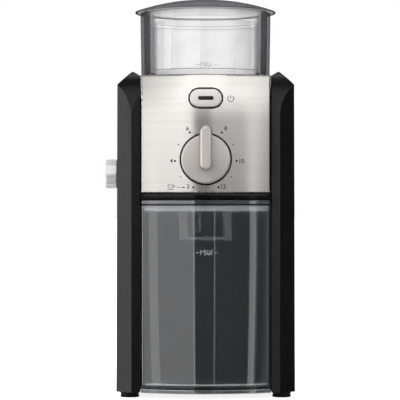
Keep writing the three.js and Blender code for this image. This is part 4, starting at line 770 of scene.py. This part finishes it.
def build_hopper():
    inner = HOPPER_TOP_RADIUS - HOPPER_WALL
    profile = [
        (HOPPER_FOOT_RADIUS, HOPPER_FOOT),
        (HOPPER_TOP_RADIUS, HOPPER_TOP),
        (inner, HOPPER_TOP),
        (HOPPER_FOOT_RADIUS - HOPPER_WALL, HOPPER_FOOT),
    ]
    piece = keep("hopper_wall", on_axis(softened(profile, 0.6)), CLEAR, "housing", angle=50)
    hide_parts("hopper")
    edge = inner - 0.3
    flange = [(edge, BOWL_TOP - 1.6), (edge, BOWL_TOP), (BOWL_RADIUS + 0.1, BOWL_TOP)]
    keep("hopper_flange", on_axis(flange, closed=False), FAINT, "housing", angle=50)
    bowl = [
        (BOWL_RADIUS, BOWL_TOP),
        (BOWL_RADIUS, BOWL_FLOOR),
        (THROAT_RADIUS, THROAT_TOP),
        (THROAT_RADIUS, THROAT_BOTTOM),
        (THROAT_RADIUS + BOWL_WALL, THROAT_BOTTOM),
    ]
    bm = on_axis(softened(bowl, 1.4, steps=4, closed=False), closed=False)
    piece = keep("hopper_funnel", bm, BOWL, "housing", angle=60)
    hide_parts("hopper_bowl")
    # A thin dark ring at the bowl's lower corner: a painted shade line.
    corner_shade = [(BOWL_RADIUS + 0.1, BOWL_FLOOR + 0.1), (BOWL_RADIUS + 1.6, BOWL_FLOOR + 0.1)]
    corner_shade += [(BOWL_RADIUS + 1.6, BOWL_FLOOR - 0.15), (BOWL_RADIUS + 0.1, BOWL_FLOOR - 0.15)]
    keep("hopper_corner_shade", on_axis(corner_shade), SHADE_LINE_FILM, "housing", angle=50)


def half_ring(name, radius, level, body):
    """The rear half of a round edge, where light that bends through it draws a thin line."""
    rings = []
    for i in range(65):
        angle = math.pi * i / 64
        far, top = radius + 0.2, level + 0.02 + 0.3 * math.sin(angle)
        section = [(radius, level), (far, level), (far, top), (radius, top)]
        rings.append([(r * math.cos(angle), AXIS + r * math.sin(angle), z) for r, z in section])
    keep(name, loft(rings), SHADE_LINE_FILM, body, angle=50)


def build_hopper_lid():
    """A shallow dome with a rolled brim and an inner skirt, and the thin lines of the edges under it."""
    bottom = HOPPER_TOP + 0.2
    sphere = (LID_RADIUS**2 + LID_RISE**2) / (2 * LID_RISE)
    top = bottom + LID_WALL / 2 + LID_RISE

    def cap(radius):
        return top - sphere + math.sqrt(sphere**2 - radius**2)

    skirt = HOPPER_TOP_RADIUS - HOPPER_WALL - 0.4
    crown = [(LID_RADIUS * i / 24, cap(LID_RADIUS * i / 24)) for i in range(24)]
    brim_start = (LID_RADIUS - 0.5, cap(LID_RADIUS - 0.5))
    brim = bezier(brim_start, (LID_RADIUS, cap(LID_RADIUS)), (LID_RADIUS - 0.4, bottom), 4)
    under = (LID_RADIUS - 1.6, bottom + 0.4)
    ledge = [under, (skirt, bottom + 0.6)]
    wall = [(skirt, bottom + 1.2), (skirt, HOPPER_TOP - SKIRT_DEPTH)]
    bm = merged(*[on_axis(profile, closed=False) for profile in ([*crown, brim[0]], ledge, wall)])
    piece = keep("hopper_cover", bm, LID, "lid", angle=50)
    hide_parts("hopper_lid")
    # A thin dark ring at the top of the hopper wall: a painted shade line.
    near, high = HOPPER_TOP_RADIUS - 1.1, HOPPER_TOP - 0.05
    section = [(near, high - 0.25), (near + 0.35, high - 0.25), (near + 0.35, high), (near, high)]
    keep("hopper_edge", on_axis(section), SHADE_LINE_FILM, "housing", angle=50)
    half_ring("hopper_cover_rim", skirt - 0.3, HOPPER_TOP - SKIRT_DEPTH + 0.1, "lid")
    half_ring("hopper_bowl_rim", BOWL_RADIUS + 0.3, BOWL_TOP - 0.2, "housing")
    # The rolled brim in its darker, denser film: painted shade.
    keep("hopper_cover_brim", on_axis([*brim, under], closed=False), LID_BRIM_SHADE, "lid", angle=60)


# Container


def ringed(profile, closed=True, capped=False):
    """A band swept round the container's plan: profile points are (inset, level)."""
    rings = [[(x, y, level) for x, y in box_plan(inset)] for inset, level in profile]
    return loft(rings, capped=capped, joined=closed)


def container_piece(name, bm, material, angle=35):
    return keep(name, bm, material, "drawer", angle)


def build_container():
    inset = BOX_WALL
    floor = BOX_BOTTOM + FLOOR_WALL
    profile = [(1.4, BOX_BOTTOM), (0.4, BOX_BOTTOM + 0.3), (0, BOX_BOTTOM + 1.2)]
    profile += [(0, BOX_TOP - 0.5), (0.3, BOX_TOP - 0.2), (inset - 0.3, BOX_TOP), (inset, BOX_TOP - 0.3)]
    profile += [(inset, floor + 1.5), (inset + 0.5, floor + 0.5), (inset + 1.5, floor)]
    shell = ringed(profile, closed=False, capped=True)
    half = NOTCH_WIDTH / 2
    notch = blocked((-half, half), (BOX_DEPTH - 6, BOX_DEPTH + 3), (NOTCH_BOTTOM, BOX_TOP + 3))
    piece = container_piece("container_shell", carved(shell, notch), SMOKE)
    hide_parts("container")
    build_container_apron()
    build_container_fillet()
    build_container_rim()


def build_container_apron():
    """The front wall goes on below the floor, in three bands."""
    across = spread(-BOX_HALF, BOX_HALF, 48)
    apron = [(x, bow(BOW_RADIUS + 0.05, x)) for x in across]
    apron += [(x, bow(BOW_RADIUS - BOX_WALL, x)) for x in reversed(across)]
    # The dark band under the floor is painted shade, and the pale hem along the bottom edge is painted light.
    bands = [
        ("container_apron", APRON_BOTTOM + 0.6, APRON_STEP, 0.05, SMOKE_BASE),
        ("container_apron_step", APRON_STEP, BOX_BOTTOM + 0.8, 0.05, APRON_SHADE),
        ("container_apron_hem", APRON_BOTTOM, APRON_BOTTOM + 0.6, 0.25, APRON_LIGHT),
    ]
    for name, low, high, edge, material in bands:
        bm = bevelled(loft([[(x, y, z) for x, y in apron] for z in (low, high)]), edge)
        container_piece(name, bm, material)


def build_container_fillet():
    """The rounding between the floor and the front wall, painted white as a highlight along one line."""
    radius = BOW_RADIUS - BOX_WALL
    half = BOX_HALF - 3.4
    floor = BOX_BOTTOM + FLOOR_WALL
    section = [(0.02, floor + 0.1), (0.02, floor + 1.0), (0.3, floor + 0.35), (0.9, floor + 0.1)]
    rings = [[(x, bow(radius, x) + back, level) for back, level in section] for x in spread(-half, half, 48)]
    container_piece("container_fillet", loft(rings), PAINTED_HIGHLIGHT, angle=80)


def build_container_rim():
    """The raised rim round the notch in the back wall."""
    half = RIM_OUTER / 2
    hole = NOTCH_WIDTH / 2
    top = LID_FLANGE_BOTTOM - 0.35
    outline = [(-half, RIM_BOTTOM), (half, RIM_BOTTOM), (half, top), (hole, top), (hole, NOTCH_BOTTOM)]
    outline += [(-hole, NOTCH_BOTTOM), (-hole, top), (-half, top)]
    depths = (BOX_DEPTH - BOX_WALL - 1.2, BOX_DEPTH - BOX_WALL - 0.02)
    # The rim is painted near white: painted light, as it sits in the box's shade.
    container_piece("container_rim", prism(outline, depths, 0.25), RIM_PAINTED_LIGHT)


def build_container_lid():
    """A flat lid with the chute's mouth, a thin dark joint below it and a flange inside the box."""
    low = BOX_TOP + 0.2
    profile = [(0.3, low + 0.25), (0, low + 0.5), (0, BOX_LID_TOP - 0.5), (0.5, BOX_LID_TOP)]
    under = BOX_LID_TOP - 1.8
    profile += [(1.5, BOX_LID_TOP), (2.6, under), (2.6, low)]
    band = ringed(profile, closed=True)
    plate = loft([[(x, y, z) for x, y in box_plan(2.0)] for z in (under, BOX_LID_TOP - 0.1)])
    mouth = blocked((-CHUTE_HALF, CHUTE_HALF), (CHUTE_FRONT, CHUTE_BACK), (0, BOX_LID_TOP + 3))
    bm = merged(band, carved(plate, mouth))
    piece = container_piece("container_cover", bm, SMOKE)
    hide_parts("container_lid")
    joint = [(0.12, BOX_TOP - 0.25), (0.12, BOX_TOP + 0.5), (0.5, BOX_TOP + 0.5), (0.5, BOX_TOP - 0.25)]
    container_piece("container_joint", ringed(joint), GLOSS, angle=50)
    # The flange is painted near white: painted light for the bright line it shows through the front wall.
    flange = ringed([(2.2, low), (2.2, LID_FLANGE_BOTTOM + 0.2), (2.9, LID_FLANGE_BOTTOM)], closed=False)
    middles = [(face, face.calc_center_median()) for face in flange.faces]
    notch = [face for face, middle in middles if abs(middle.x) < NOTCH_WIDTH / 2 and middle.y > BOX_DEPTH / 2]
    bmesh.ops.delete(flange, geom=notch, context="FACES")
    container_piece("container_flange", flange, FLANGE_PAINTED_LIGHT)


def build_lever():
    """The safety lever: a dark tab, with white strips on its right and lower edges as painted highlights."""
    bm = merged(
        blocked((-8.2, -3.2), (66.8, 79.2), (107.5, 120.3), 0.5),
        blocked((-17, -5.7), (68.4, 70.1), (108.8, 113.4), 0.4),
    )
    piece = keep("lever_tab", bm, BLACK, "lever")
    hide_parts("interlock_lever")
    # White strips and a small nub: painted highlights
    bm = merged(
        blocked((-4.2, -3.1), (66.1, 67.2), (107.4, 120.2), 0.3),
        blocked((-8.4, -3.1), (66.1, 67.2), (107.0, 108.1), 0.3),
        blocked((-9.1, -8.0), (66.1, 67.2), (107.4, 114.6), 0.3),
        blocked((-5.3, -3.2), (65.9, 67.0), (112.6, 115.4), 0.5),
    )
    keep("lever_painted_highlight", bm, PAINTED_HIGHLIGHT, "lever")


# Controls


def build_dial():
    back = APEX - DIAL_STAND + DIAL_THICKNESS - 0.5
    face = APEX - DIAL_STAND
    edge = [(DIAL_SHOWN - inset, y) for inset, y in quarter_round(DIAL_EDGE, face, 6)]
    profile = [(0.01, back), (DIAL_SHOWN, back), *edge, (0.01, face)]
    disc = turned(profile, (0, 0, DIAL_HEIGHT), axis="y", closed=False)
    middle = (GRIP_TOP - GRIP_BOTTOM) / 2
    length = GRIP_TOP + GRIP_BOTTOM
    front = face - GRIP_HEIGHT

    def outline(inset):
        points = stadium(0, 0, length - 2 * inset, GRIP_WIDTH - 2 * inset)
        return [(-v, DIAL_HEIGHT + middle + u) for u, v in points]

    levels = [(-0.5, face + 0.6), (-0.35, face - 0.1), (-0.1, face - 0.6), (0, face - 1.4)]
    levels += quarter_round(GRIP_EDGE, front, 6) + [(2.2, front)]
    grip = loft([[(x, y, z) for x, z in outline(inset)] for inset, y in levels])
    piece = keep("cup_dial_knob", merged(disc, grip), SATIN, "dial", angle=45)
    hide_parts("cup_dial")


def build_button():
    front = APEX - BUTTON_STAND
    rings = []
    for inset, y in [(0, front + BUTTON_DEPTH)] + quarter_round(BUTTON_EDGE, front, 5):
        points = stadium(0, BUTTON_HEIGHT, BUTTON_LENGTH - 2 * inset, BUTTON_WIDTH - 2 * inset)
        rings.append([(x, y, z) for x, z in points])
    slot = prism(stadium(0, BUTTON_HEIGHT, LENS_LENGTH, LENS_WIDTH, 8), (front - 1, front + LENS_DEPTH))
    piece = keep("power_button_cap", carved(loft(rings), slot), SATIN_CAP, "button")
    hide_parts("power_button")
    outline = stadium(0, BUTTON_HEIGHT, LENS_LENGTH - 0.2, LENS_WIDTH - 0.2, 8)
    lens = prism(outline, (front + 0.3, front + LENS_DEPTH), 0.15)
    piece = keep("button_window", lens, LENS, "button")
    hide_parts("button_lens")


def build_fineness_knob():
    far = KNOB_NEAR - KNOB_REACH
    steps = 128

    def ring(inset, level):
        points = []
        for i in range(steps):
            angle = 2 * math.pi * i / steps
            lobe = math.cos(KNOB_LOBES * (angle - math.radians(KNOB_PHASE)))
            radius = KNOB_RADIUS - 0.28 * (1 - lobe) - inset
            points.append((level, AXIS + radius * math.cos(angle), FINE_HEIGHT + radius * math.sin(angle)))
        return points

    levels = [(0.5, KNOB_NEAR), (0, KNOB_NEAR - 0.5)] + quarter_round(KNOB_EDGE, far, 5)
    levels += [(2.0, far), (2.6, far + 0.35), (7.5, far + 0.5)]
    bm = loft([ring(inset, level) for inset, level in levels])
    heights = (FINE_HEIGHT + 2.5, FINE_HEIGHT + 7.6)
    slot = blocked((far - 1, far + 1), (AXIS - 0.5, AXIS + 0.5), heights, 0.3)
    piece = keep("fineness_grip", carved(bm, slot), SATIN_SIDE, "fineness", angle=40)
    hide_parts("fineness_knob")
    collar = [(COLLAR_HOLE, COLLAR_BACK), (COLLAR_RADIUS, COLLAR_BACK), (COLLAR_RADIUS, KNOB_NEAR + 0.9)]
    collar += [(COLLAR_RADIUS - 0.7, KNOB_NEAR + 0.1), (COLLAR_HOLE, KNOB_NEAR + 0.1)]
    bm = turned(collar, (0, AXIS, FINE_HEIGHT), axis="x")
    piece = keep("fineness_collar", bm, BLACK, "housing", angle=50)
    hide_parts("knob_escutcheon")


# Marks


def flat_text(words, size, weight=0.05):
    """The faces of a word as lists of points, middle at zero."""
    curve = bpy.data.curves.new("words", "FONT")
    curve.body = words
    curve.size = size
    curve.offset = weight
    curve.align_x = "CENTER"
    curve.align_y = "CENTER"
    curve.resolution_u = 3
    holder = placed("words", curve)
    bpy.context.view_layer.update()
    view = bpy.context.evaluated_depsgraph_get()
    data = bpy.data.meshes.new_from_object(holder.evaluated_get(view))
    faces = [[tuple(data.vertices[i].co[:2]) for i in polygon.vertices] for polygon in data.polygons]
    bpy.data.objects.remove(holder)
    bpy.data.curves.remove(curve)
    bpy.data.meshes.remove(data)
    return faces


def bar(u0, v0, u1, v1, width):
    """A straight stroke as one face."""
    length = math.dist((u0, v0), (u1, v1))
    du, dv = (v0 - v1) / length * width / 2, (u1 - u0) / length * width / 2
    return [(u0 - du, v0 - dv), (u1 - du, v1 - dv), (u1 + du, v1 + dv), (u0 + du, v0 + dv)]


def shifted(faces, u, v):
    return [[(p + u, q + v) for p, q in face] for face in faces]


def curved_stroke(points, width):
    return [bar(*a, *b, width) for a, b in zip(points, points[1:])]


def marks(name, faces, place, material, body):
    """Printed marks laid on a surface: place turns a point of the print into a point of the model."""
    bm = bmesh.new()
    for face in faces:
        bm.faces.new([bm.verts.new(place(u, v)) for u, v in face])
    wide = [e for e in bm.edges if e.calc_length() > 1.5]
    bmesh.ops.subdivide_edges(bm, edges=wide, cuts=2)
    keep(name, bm, material, body)


def on_steel(u, v):
    return (u, bow(BOW_RADIUS + PRINT_STAND, u), v)


def build_panel_marks():
    faces = []
    for cups in (2, 3, 4, 5, 6, 8, 9, 10, 11, 12):
        turn = math.radians((cups - 7) * CUP_STEP)
        u, v = CUP_DOT_CIRCLE * math.sin(turn), DIAL_HEIGHT + CUP_DOT_CIRCLE * math.cos(turn)
        faces.append(circle(u, v, 0.42 if cups % 2 else 0.72, 16))
    for cups, (u, v) in NUMBER_PLACES.items():
        faces += shifted(flat_text(str(cups), 3.8), u, v)
    # A cup on a saucer with an arrow towards the first number
    cup = [(-24.4, 138.0), (-24.2, 136.6), (-23.4, 135.9), (-21.9, 135.9), (-21.1, 136.6), (-20.9, 138.0)]
    faces += curved_stroke(cup, 0.3)
    faces += curved_stroke([(-24.4, 138.0), (-20.9, 138.0)], 0.3)
    faces += curved_stroke([(-20.9, 137.7), (-20.0, 137.5), (-20.1, 136.7), (-21.1, 136.6)], 0.25)
    faces += curved_stroke([(-24.6, 135.0), (-20.7, 135.0)], 0.3)
    faces += curved_stroke([(-18.9, 136.4), (-13.6, 136.4)], 0.25)
    faces += [[(-13.2, 136.4), (-14.6, 137.0), (-14.6, 135.8)]]
    # The plain on and off sign beside the button
    u, v = POWER_SIGN
    faces += curved_stroke(arc(u, v, 1.95, math.radians(128), math.radians(412), 24), 0.42)
    faces += curved_stroke([(u, v - 0.2), (u, v + 2.2)], 0.42)
    marks("panel_print", faces, on_steel, INK, "housing")


def level_word():
    """MAX between two dashes, in thin strokes."""
    half = 1.75
    lines = [
        [(-3.9, -half), (-3.9, half), (-2.6, 0), (-1.3, half), (-1.3, -half)],
        [(-0.95, -half), (0.2, half), (1.35, -half)],
        [(-0.55, -0.65), (0.95, -0.65)],
        [(1.5, -half), (3.7, half)],
        [(1.5, half), (3.7, -half)],
        [(-7.0, 0), (-4.6, 0)],
        [(4.6, 0), (7.6, 0)],
    ]
    return [stroke for line in lines for stroke in curved_stroke(line, 0.22)]


def build_level_marks():
    """The fill levels, which hoppers and containers of any make carry."""

    def on_hopper(u, v):
        share = (v - HOPPER_FOOT) / (HOPPER_TOP - HOPPER_FOOT)
        radius = HOPPER_FOOT_RADIUS + (HOPPER_TOP_RADIUS - HOPPER_FOOT_RADIUS) * share + PRINT_STAND
        return (u, AXIS - math.sqrt(radius**2 - u**2), v)

    faces = shifted(level_word(), 0.55, HOPPER_LEVEL)
    marks("hopper_level", faces, on_hopper, PALE_INK, "housing")
    faces = shifted(level_word(), 0.55, CONTAINER_LEVEL)
    marks("container_level", faces, on_steel, WHITE_INK, "drawer")


# Stage


def stage_mesh(name, points, faces):
    data = bpy.data.meshes.new(name)
    data.from_pydata(points, [], faces)
    thing = placed(name, data)
    return thing


def show_in_mirrors(thing, levels):
    """Makes a card of a mesh, with one strength of light for each of its points. A card is seen in
    reflections alone, and only in the first one: it lights nothing and hides nothing."""
    nodes = Nodes(bpy.data.materials.new(thing.name))
    level = nodes.add("ShaderNodeAttribute", attribute_name="level").outputs["Fac"]
    path = nodes.add("ShaderNodeLightPath").outputs
    depth = nodes.calc("ADD", nodes.calc("MULTIPLY", path["Diffuse Depth"], 2.0), path["Glossy Depth"])
    shown = nodes.calc("MULTIPLY", level, nodes.calc("LESS_THAN", depth, 1.5))
    thing.data.materials.append(nodes.show(nodes.add("ShaderNodeEmission", {"Strength": shown})))
    thing.data.attributes.new("level", "FLOAT", "POINT").data.foreach_set("value", levels)
    thing.visible_camera = False
    thing.visible_diffuse = False
    thing.visible_transmission = False
    thing.visible_volume_scatter = False
    thing.visible_shadow = False


def card(name, start, end, low, high, radius, strength, last=None):
    """Part of an upright cylinder round the object, between two angles from the front, to the right positive.
    Its light goes evenly from the strength at the start to the last one at the end."""
    last = strength if last is None else last
    steps = max(2, round(abs(end - start) / 3))
    points, levels = [], []
    for turn, light in zip(spread(start, end, steps), spread(strength, last, steps)):
        angle = math.radians(turn)
        points += [(MIDDLE + radius * math.sin(angle), -radius * math.cos(angle), z) for z in (low, high)]
        levels += [light, light]
    faces = [(2 * i, 2 * i + 1, 2 * i + 3, 2 * i + 2) for i in range(steps)]
    show_in_mirrors(stage_mesh(name, points, faces), levels)


def sky_strip():
    """A bright level strip overhead, towards the front."""
    corners = ((-0.4, -1.05), (0.4, -1.05), (0.4, -0.5), (-0.4, -0.5))
    points = [(MIDDLE + x, y, CEILING - 0.05) for x, y in corners]
    show_in_mirrors(stage_mesh("sky_strip", points, [(0, 1, 2, 3)]), [1.3] * 4)


def dark_ceiling():
    """Dark overhead, so that the sloping tops stay black."""
    points = [(MIDDLE, 0, CEILING)] + [(MIDDLE + x, y, CEILING) for x, y in circle(0, 0, 1.1, 48)]
    faces = [(0, i + 1, (i + 1) % 48 + 1) for i in range(48)]
    show_in_mirrors(stage_mesh("dark_ceiling", points, faces), [0.02] * len(points))


def build_cards():
    sky_strip()
    card("dark_surround", -100, 100, -3.0, 2.2, 1.1, 0.02)
    dark_ceiling()
    card("dark_rear", 105, 255, -0.5, 1.4, 1.2, 0.03)
    # What the container and the lower half of the side panels mirror
    card("low_flank", -90, -62, LOW, SPLIT, 1.0, 2.7)
    card("low_gap", -62, -55, LOW, SPLIT, 1.0, 0.2)
    card("low_window", -55, -9.3, LOW, SPLIT, 1.0, 0.57)
    card("low_edge", -55, -45.5, LOW, SPLIT, 0.99, 0.58)
    card("low_bright", -45.5, -38, LOW, SPLIT, 0.98, 0.88)
    card("low_middle", -8.6, 35, LOW, SPLIT, 1.0, 0.06)
    card("low_end", 43, 60, LOW, SPLIT, 1.0, 0.03, 0.3)
    card("low_line_left", -9.6, -8.6, LOW, SPLIT, 0.97, 1.0)
    card("low_line_right", 6.7, 7.4, LOW, SPLIT, 0.97, 0.7)
    card("low_strip", 35, 38.6, LOW, SPLIT, 0.97, 0.66)
    card("low_strip_edge", 38.6, 40, LOW, SPLIT, 0.97, 0.85)
    card("low_strip_tail", 40, 43, LOW, SPLIT, 0.97, 0.3, 0.05)
    # What the steel and the hopper mirror
    card("flank", -90, -62, SPLIT, HIGH, 1.0, 3.6)
    card("gap", -62, -57, SPLIT, HIGH, 1.0, 0.2)
    card("window", -57, -24, SPLIT, HIGH, 1.0, 1.35, 1.5)
    card("window_inner", -24, -9.5, SPLIT, HIGH, 1.0, 1.5, 1.25)
    card("window_foot", -57, -9.5, SPLIT, SPLIT + 0.075, 0.99, 2.2)
    card("middle", -9.5, 4, SPLIT, HIGH, 1.0, 0.1)
    card("wall", 4, 32, SPLIT, HIGH, 1.0, 0.55, 0.75)
    card("strip", 32, 45, SPLIT, HIGH, 1.0, 1.1)
    card("wall_top", 4, 57, HIGH - 0.06, HIGH, 0.99, 1.2, 1.0)
    card("wall_end", 45, 57, SPLIT, HIGH, 1.0, 1.0, 0.4)
    # Glints near the edges of round things
    card("glint_left", -114, -105, 0.1, HIGH + 0.1, 0.98, 3.0)
    card("glint_right", 105, 114, 0.1, HIGH + 0.1, 0.98, 3.0)
    # What the steel's top and the upper sides of knobs mirror
    card("high_left", -60, -24, HIGH, TOP, 1.0, 0.8, 1.7)
    card("high_middle", -24, 34, HIGH, TOP, 1.0, 1.9)
    card("high_right", 34, 60, HIGH, TOP, 1.0, 1.8, 1.3)
    card("sky_middle", -18, 18, TOP, 2.2, 1.0, 1.5)


def lamp(name, place, target, size, energy):
    """A round lamp that no mirror shows."""
    light = bpy.data.lights.new(name, "AREA")
    light.shape = "DISK"
    light.size = size
    light.energy = energy
    thing = placed(name, light)
    thing.location = place
    thing.rotation_euler = (Vector(target) - Vector(place)).to_track_quat("-Z", "Y").to_euler()
    thing.visible_glossy = False
    thing.visible_camera = False


def build_lamps():
    lamp("key", (-0.75, -0.95, 0.95), (0, 0, 0.14), 0.5, 12)
    lamp("top", (0.05, -0.25, 1.15), (0, 0, 0.15), 0.7, 5)
    lamp("fill", (0.9, -0.9, 0.5), (0, 0, 0.12), 0.7, 3.5)


def build_world():
    """White to the camera, to mirrors and through clear plastic; plain light for all else."""
    nodes = Nodes(bpy.data.worlds.new("studio"), "ShaderNodeOutputWorld")
    path = nodes.add("ShaderNodeLightPath").outputs
    past = nodes.calc("MAXIMUM", path["Is Glossy Ray"], path["Is Transmission Ray"])
    seen = nodes.calc("MAXIMUM", path["Is Camera Ray"], past)
    plain = nodes.add("ShaderNodeBackground", {0: (1, 1, 1, 1), 1: 0.5})
    white = nodes.add("ShaderNodeBackground", {0: (1, 1, 1, 1), 1: 1.0})
    bpy.context.scene.world = nodes.show(nodes.blend(seen, plain, white))


def build_floor():
    """Pale, and bright to the camera, so that it goes over into the white behind and keeps the shadow."""
    nodes = Nodes(bpy.data.materials.new("pale_floor"))
    seen = nodes.add("ShaderNodeLightPath")
    grain = nodes.noise(9)
    inputs = {
        "Base Color": nodes.tone((0.84, 0.84, 0.84, 1), nodes.range(grain, 0, 1), 0.01),
        "Roughness": 0.9,
        "Specular IOR Level": 0.0,
    }
    plain = nodes.add("ShaderNodeBsdfPrincipled", inputs)
    light = nodes.add("ShaderNodeEmission", {"Color": (1, 1, 1, 1), "Strength": FLOOR_LIGHT})
    both = nodes.add("ShaderNodeAddShader", {0: plain.outputs[0], 1: light.outputs[0]})
    look = nodes.show(nodes.blend(seen.outputs["Is Camera Ray"], plain, both))
    corners = [(FLOOR_HALF * x, FLOOR_HALF * y, 0) for x, y in ((-1, -1), (1, -1), (1, 1), (-1, 1))]
    floor = stage_mesh("floor", corners, [(0, 1, 2, 3)])
    floor.data.materials.append(look)
    floor.visible_glossy = False


def build_camera():
    """Level, at dial height, where the photograph was taken from."""
    camera = bpy.data.cameras.new("camera")
    camera.sensor_width = 36
    camera.lens = CAMERA_LENS
    camera.clip_end = 60
    thing = placed("camera", camera)
    thing.location = spot(*CAMERA_PLACE)
    thing.rotation_euler = (math.pi / 2, 0, 0)
    bpy.context.scene.camera = thing


dress_nodes()
build_shells()
build_front_panel()
build_feet()
build_hopper()
build_hopper_lid()
build_container()
build_container_lid()
build_lever()
build_dial()
build_button()
build_fineness_knob()
build_panel_marks()
build_level_marks()
build_world()
build_floor()
build_cards()
build_lamps()
build_camera()
bpy.context.scene.view_settings.view_transform = "Standard"
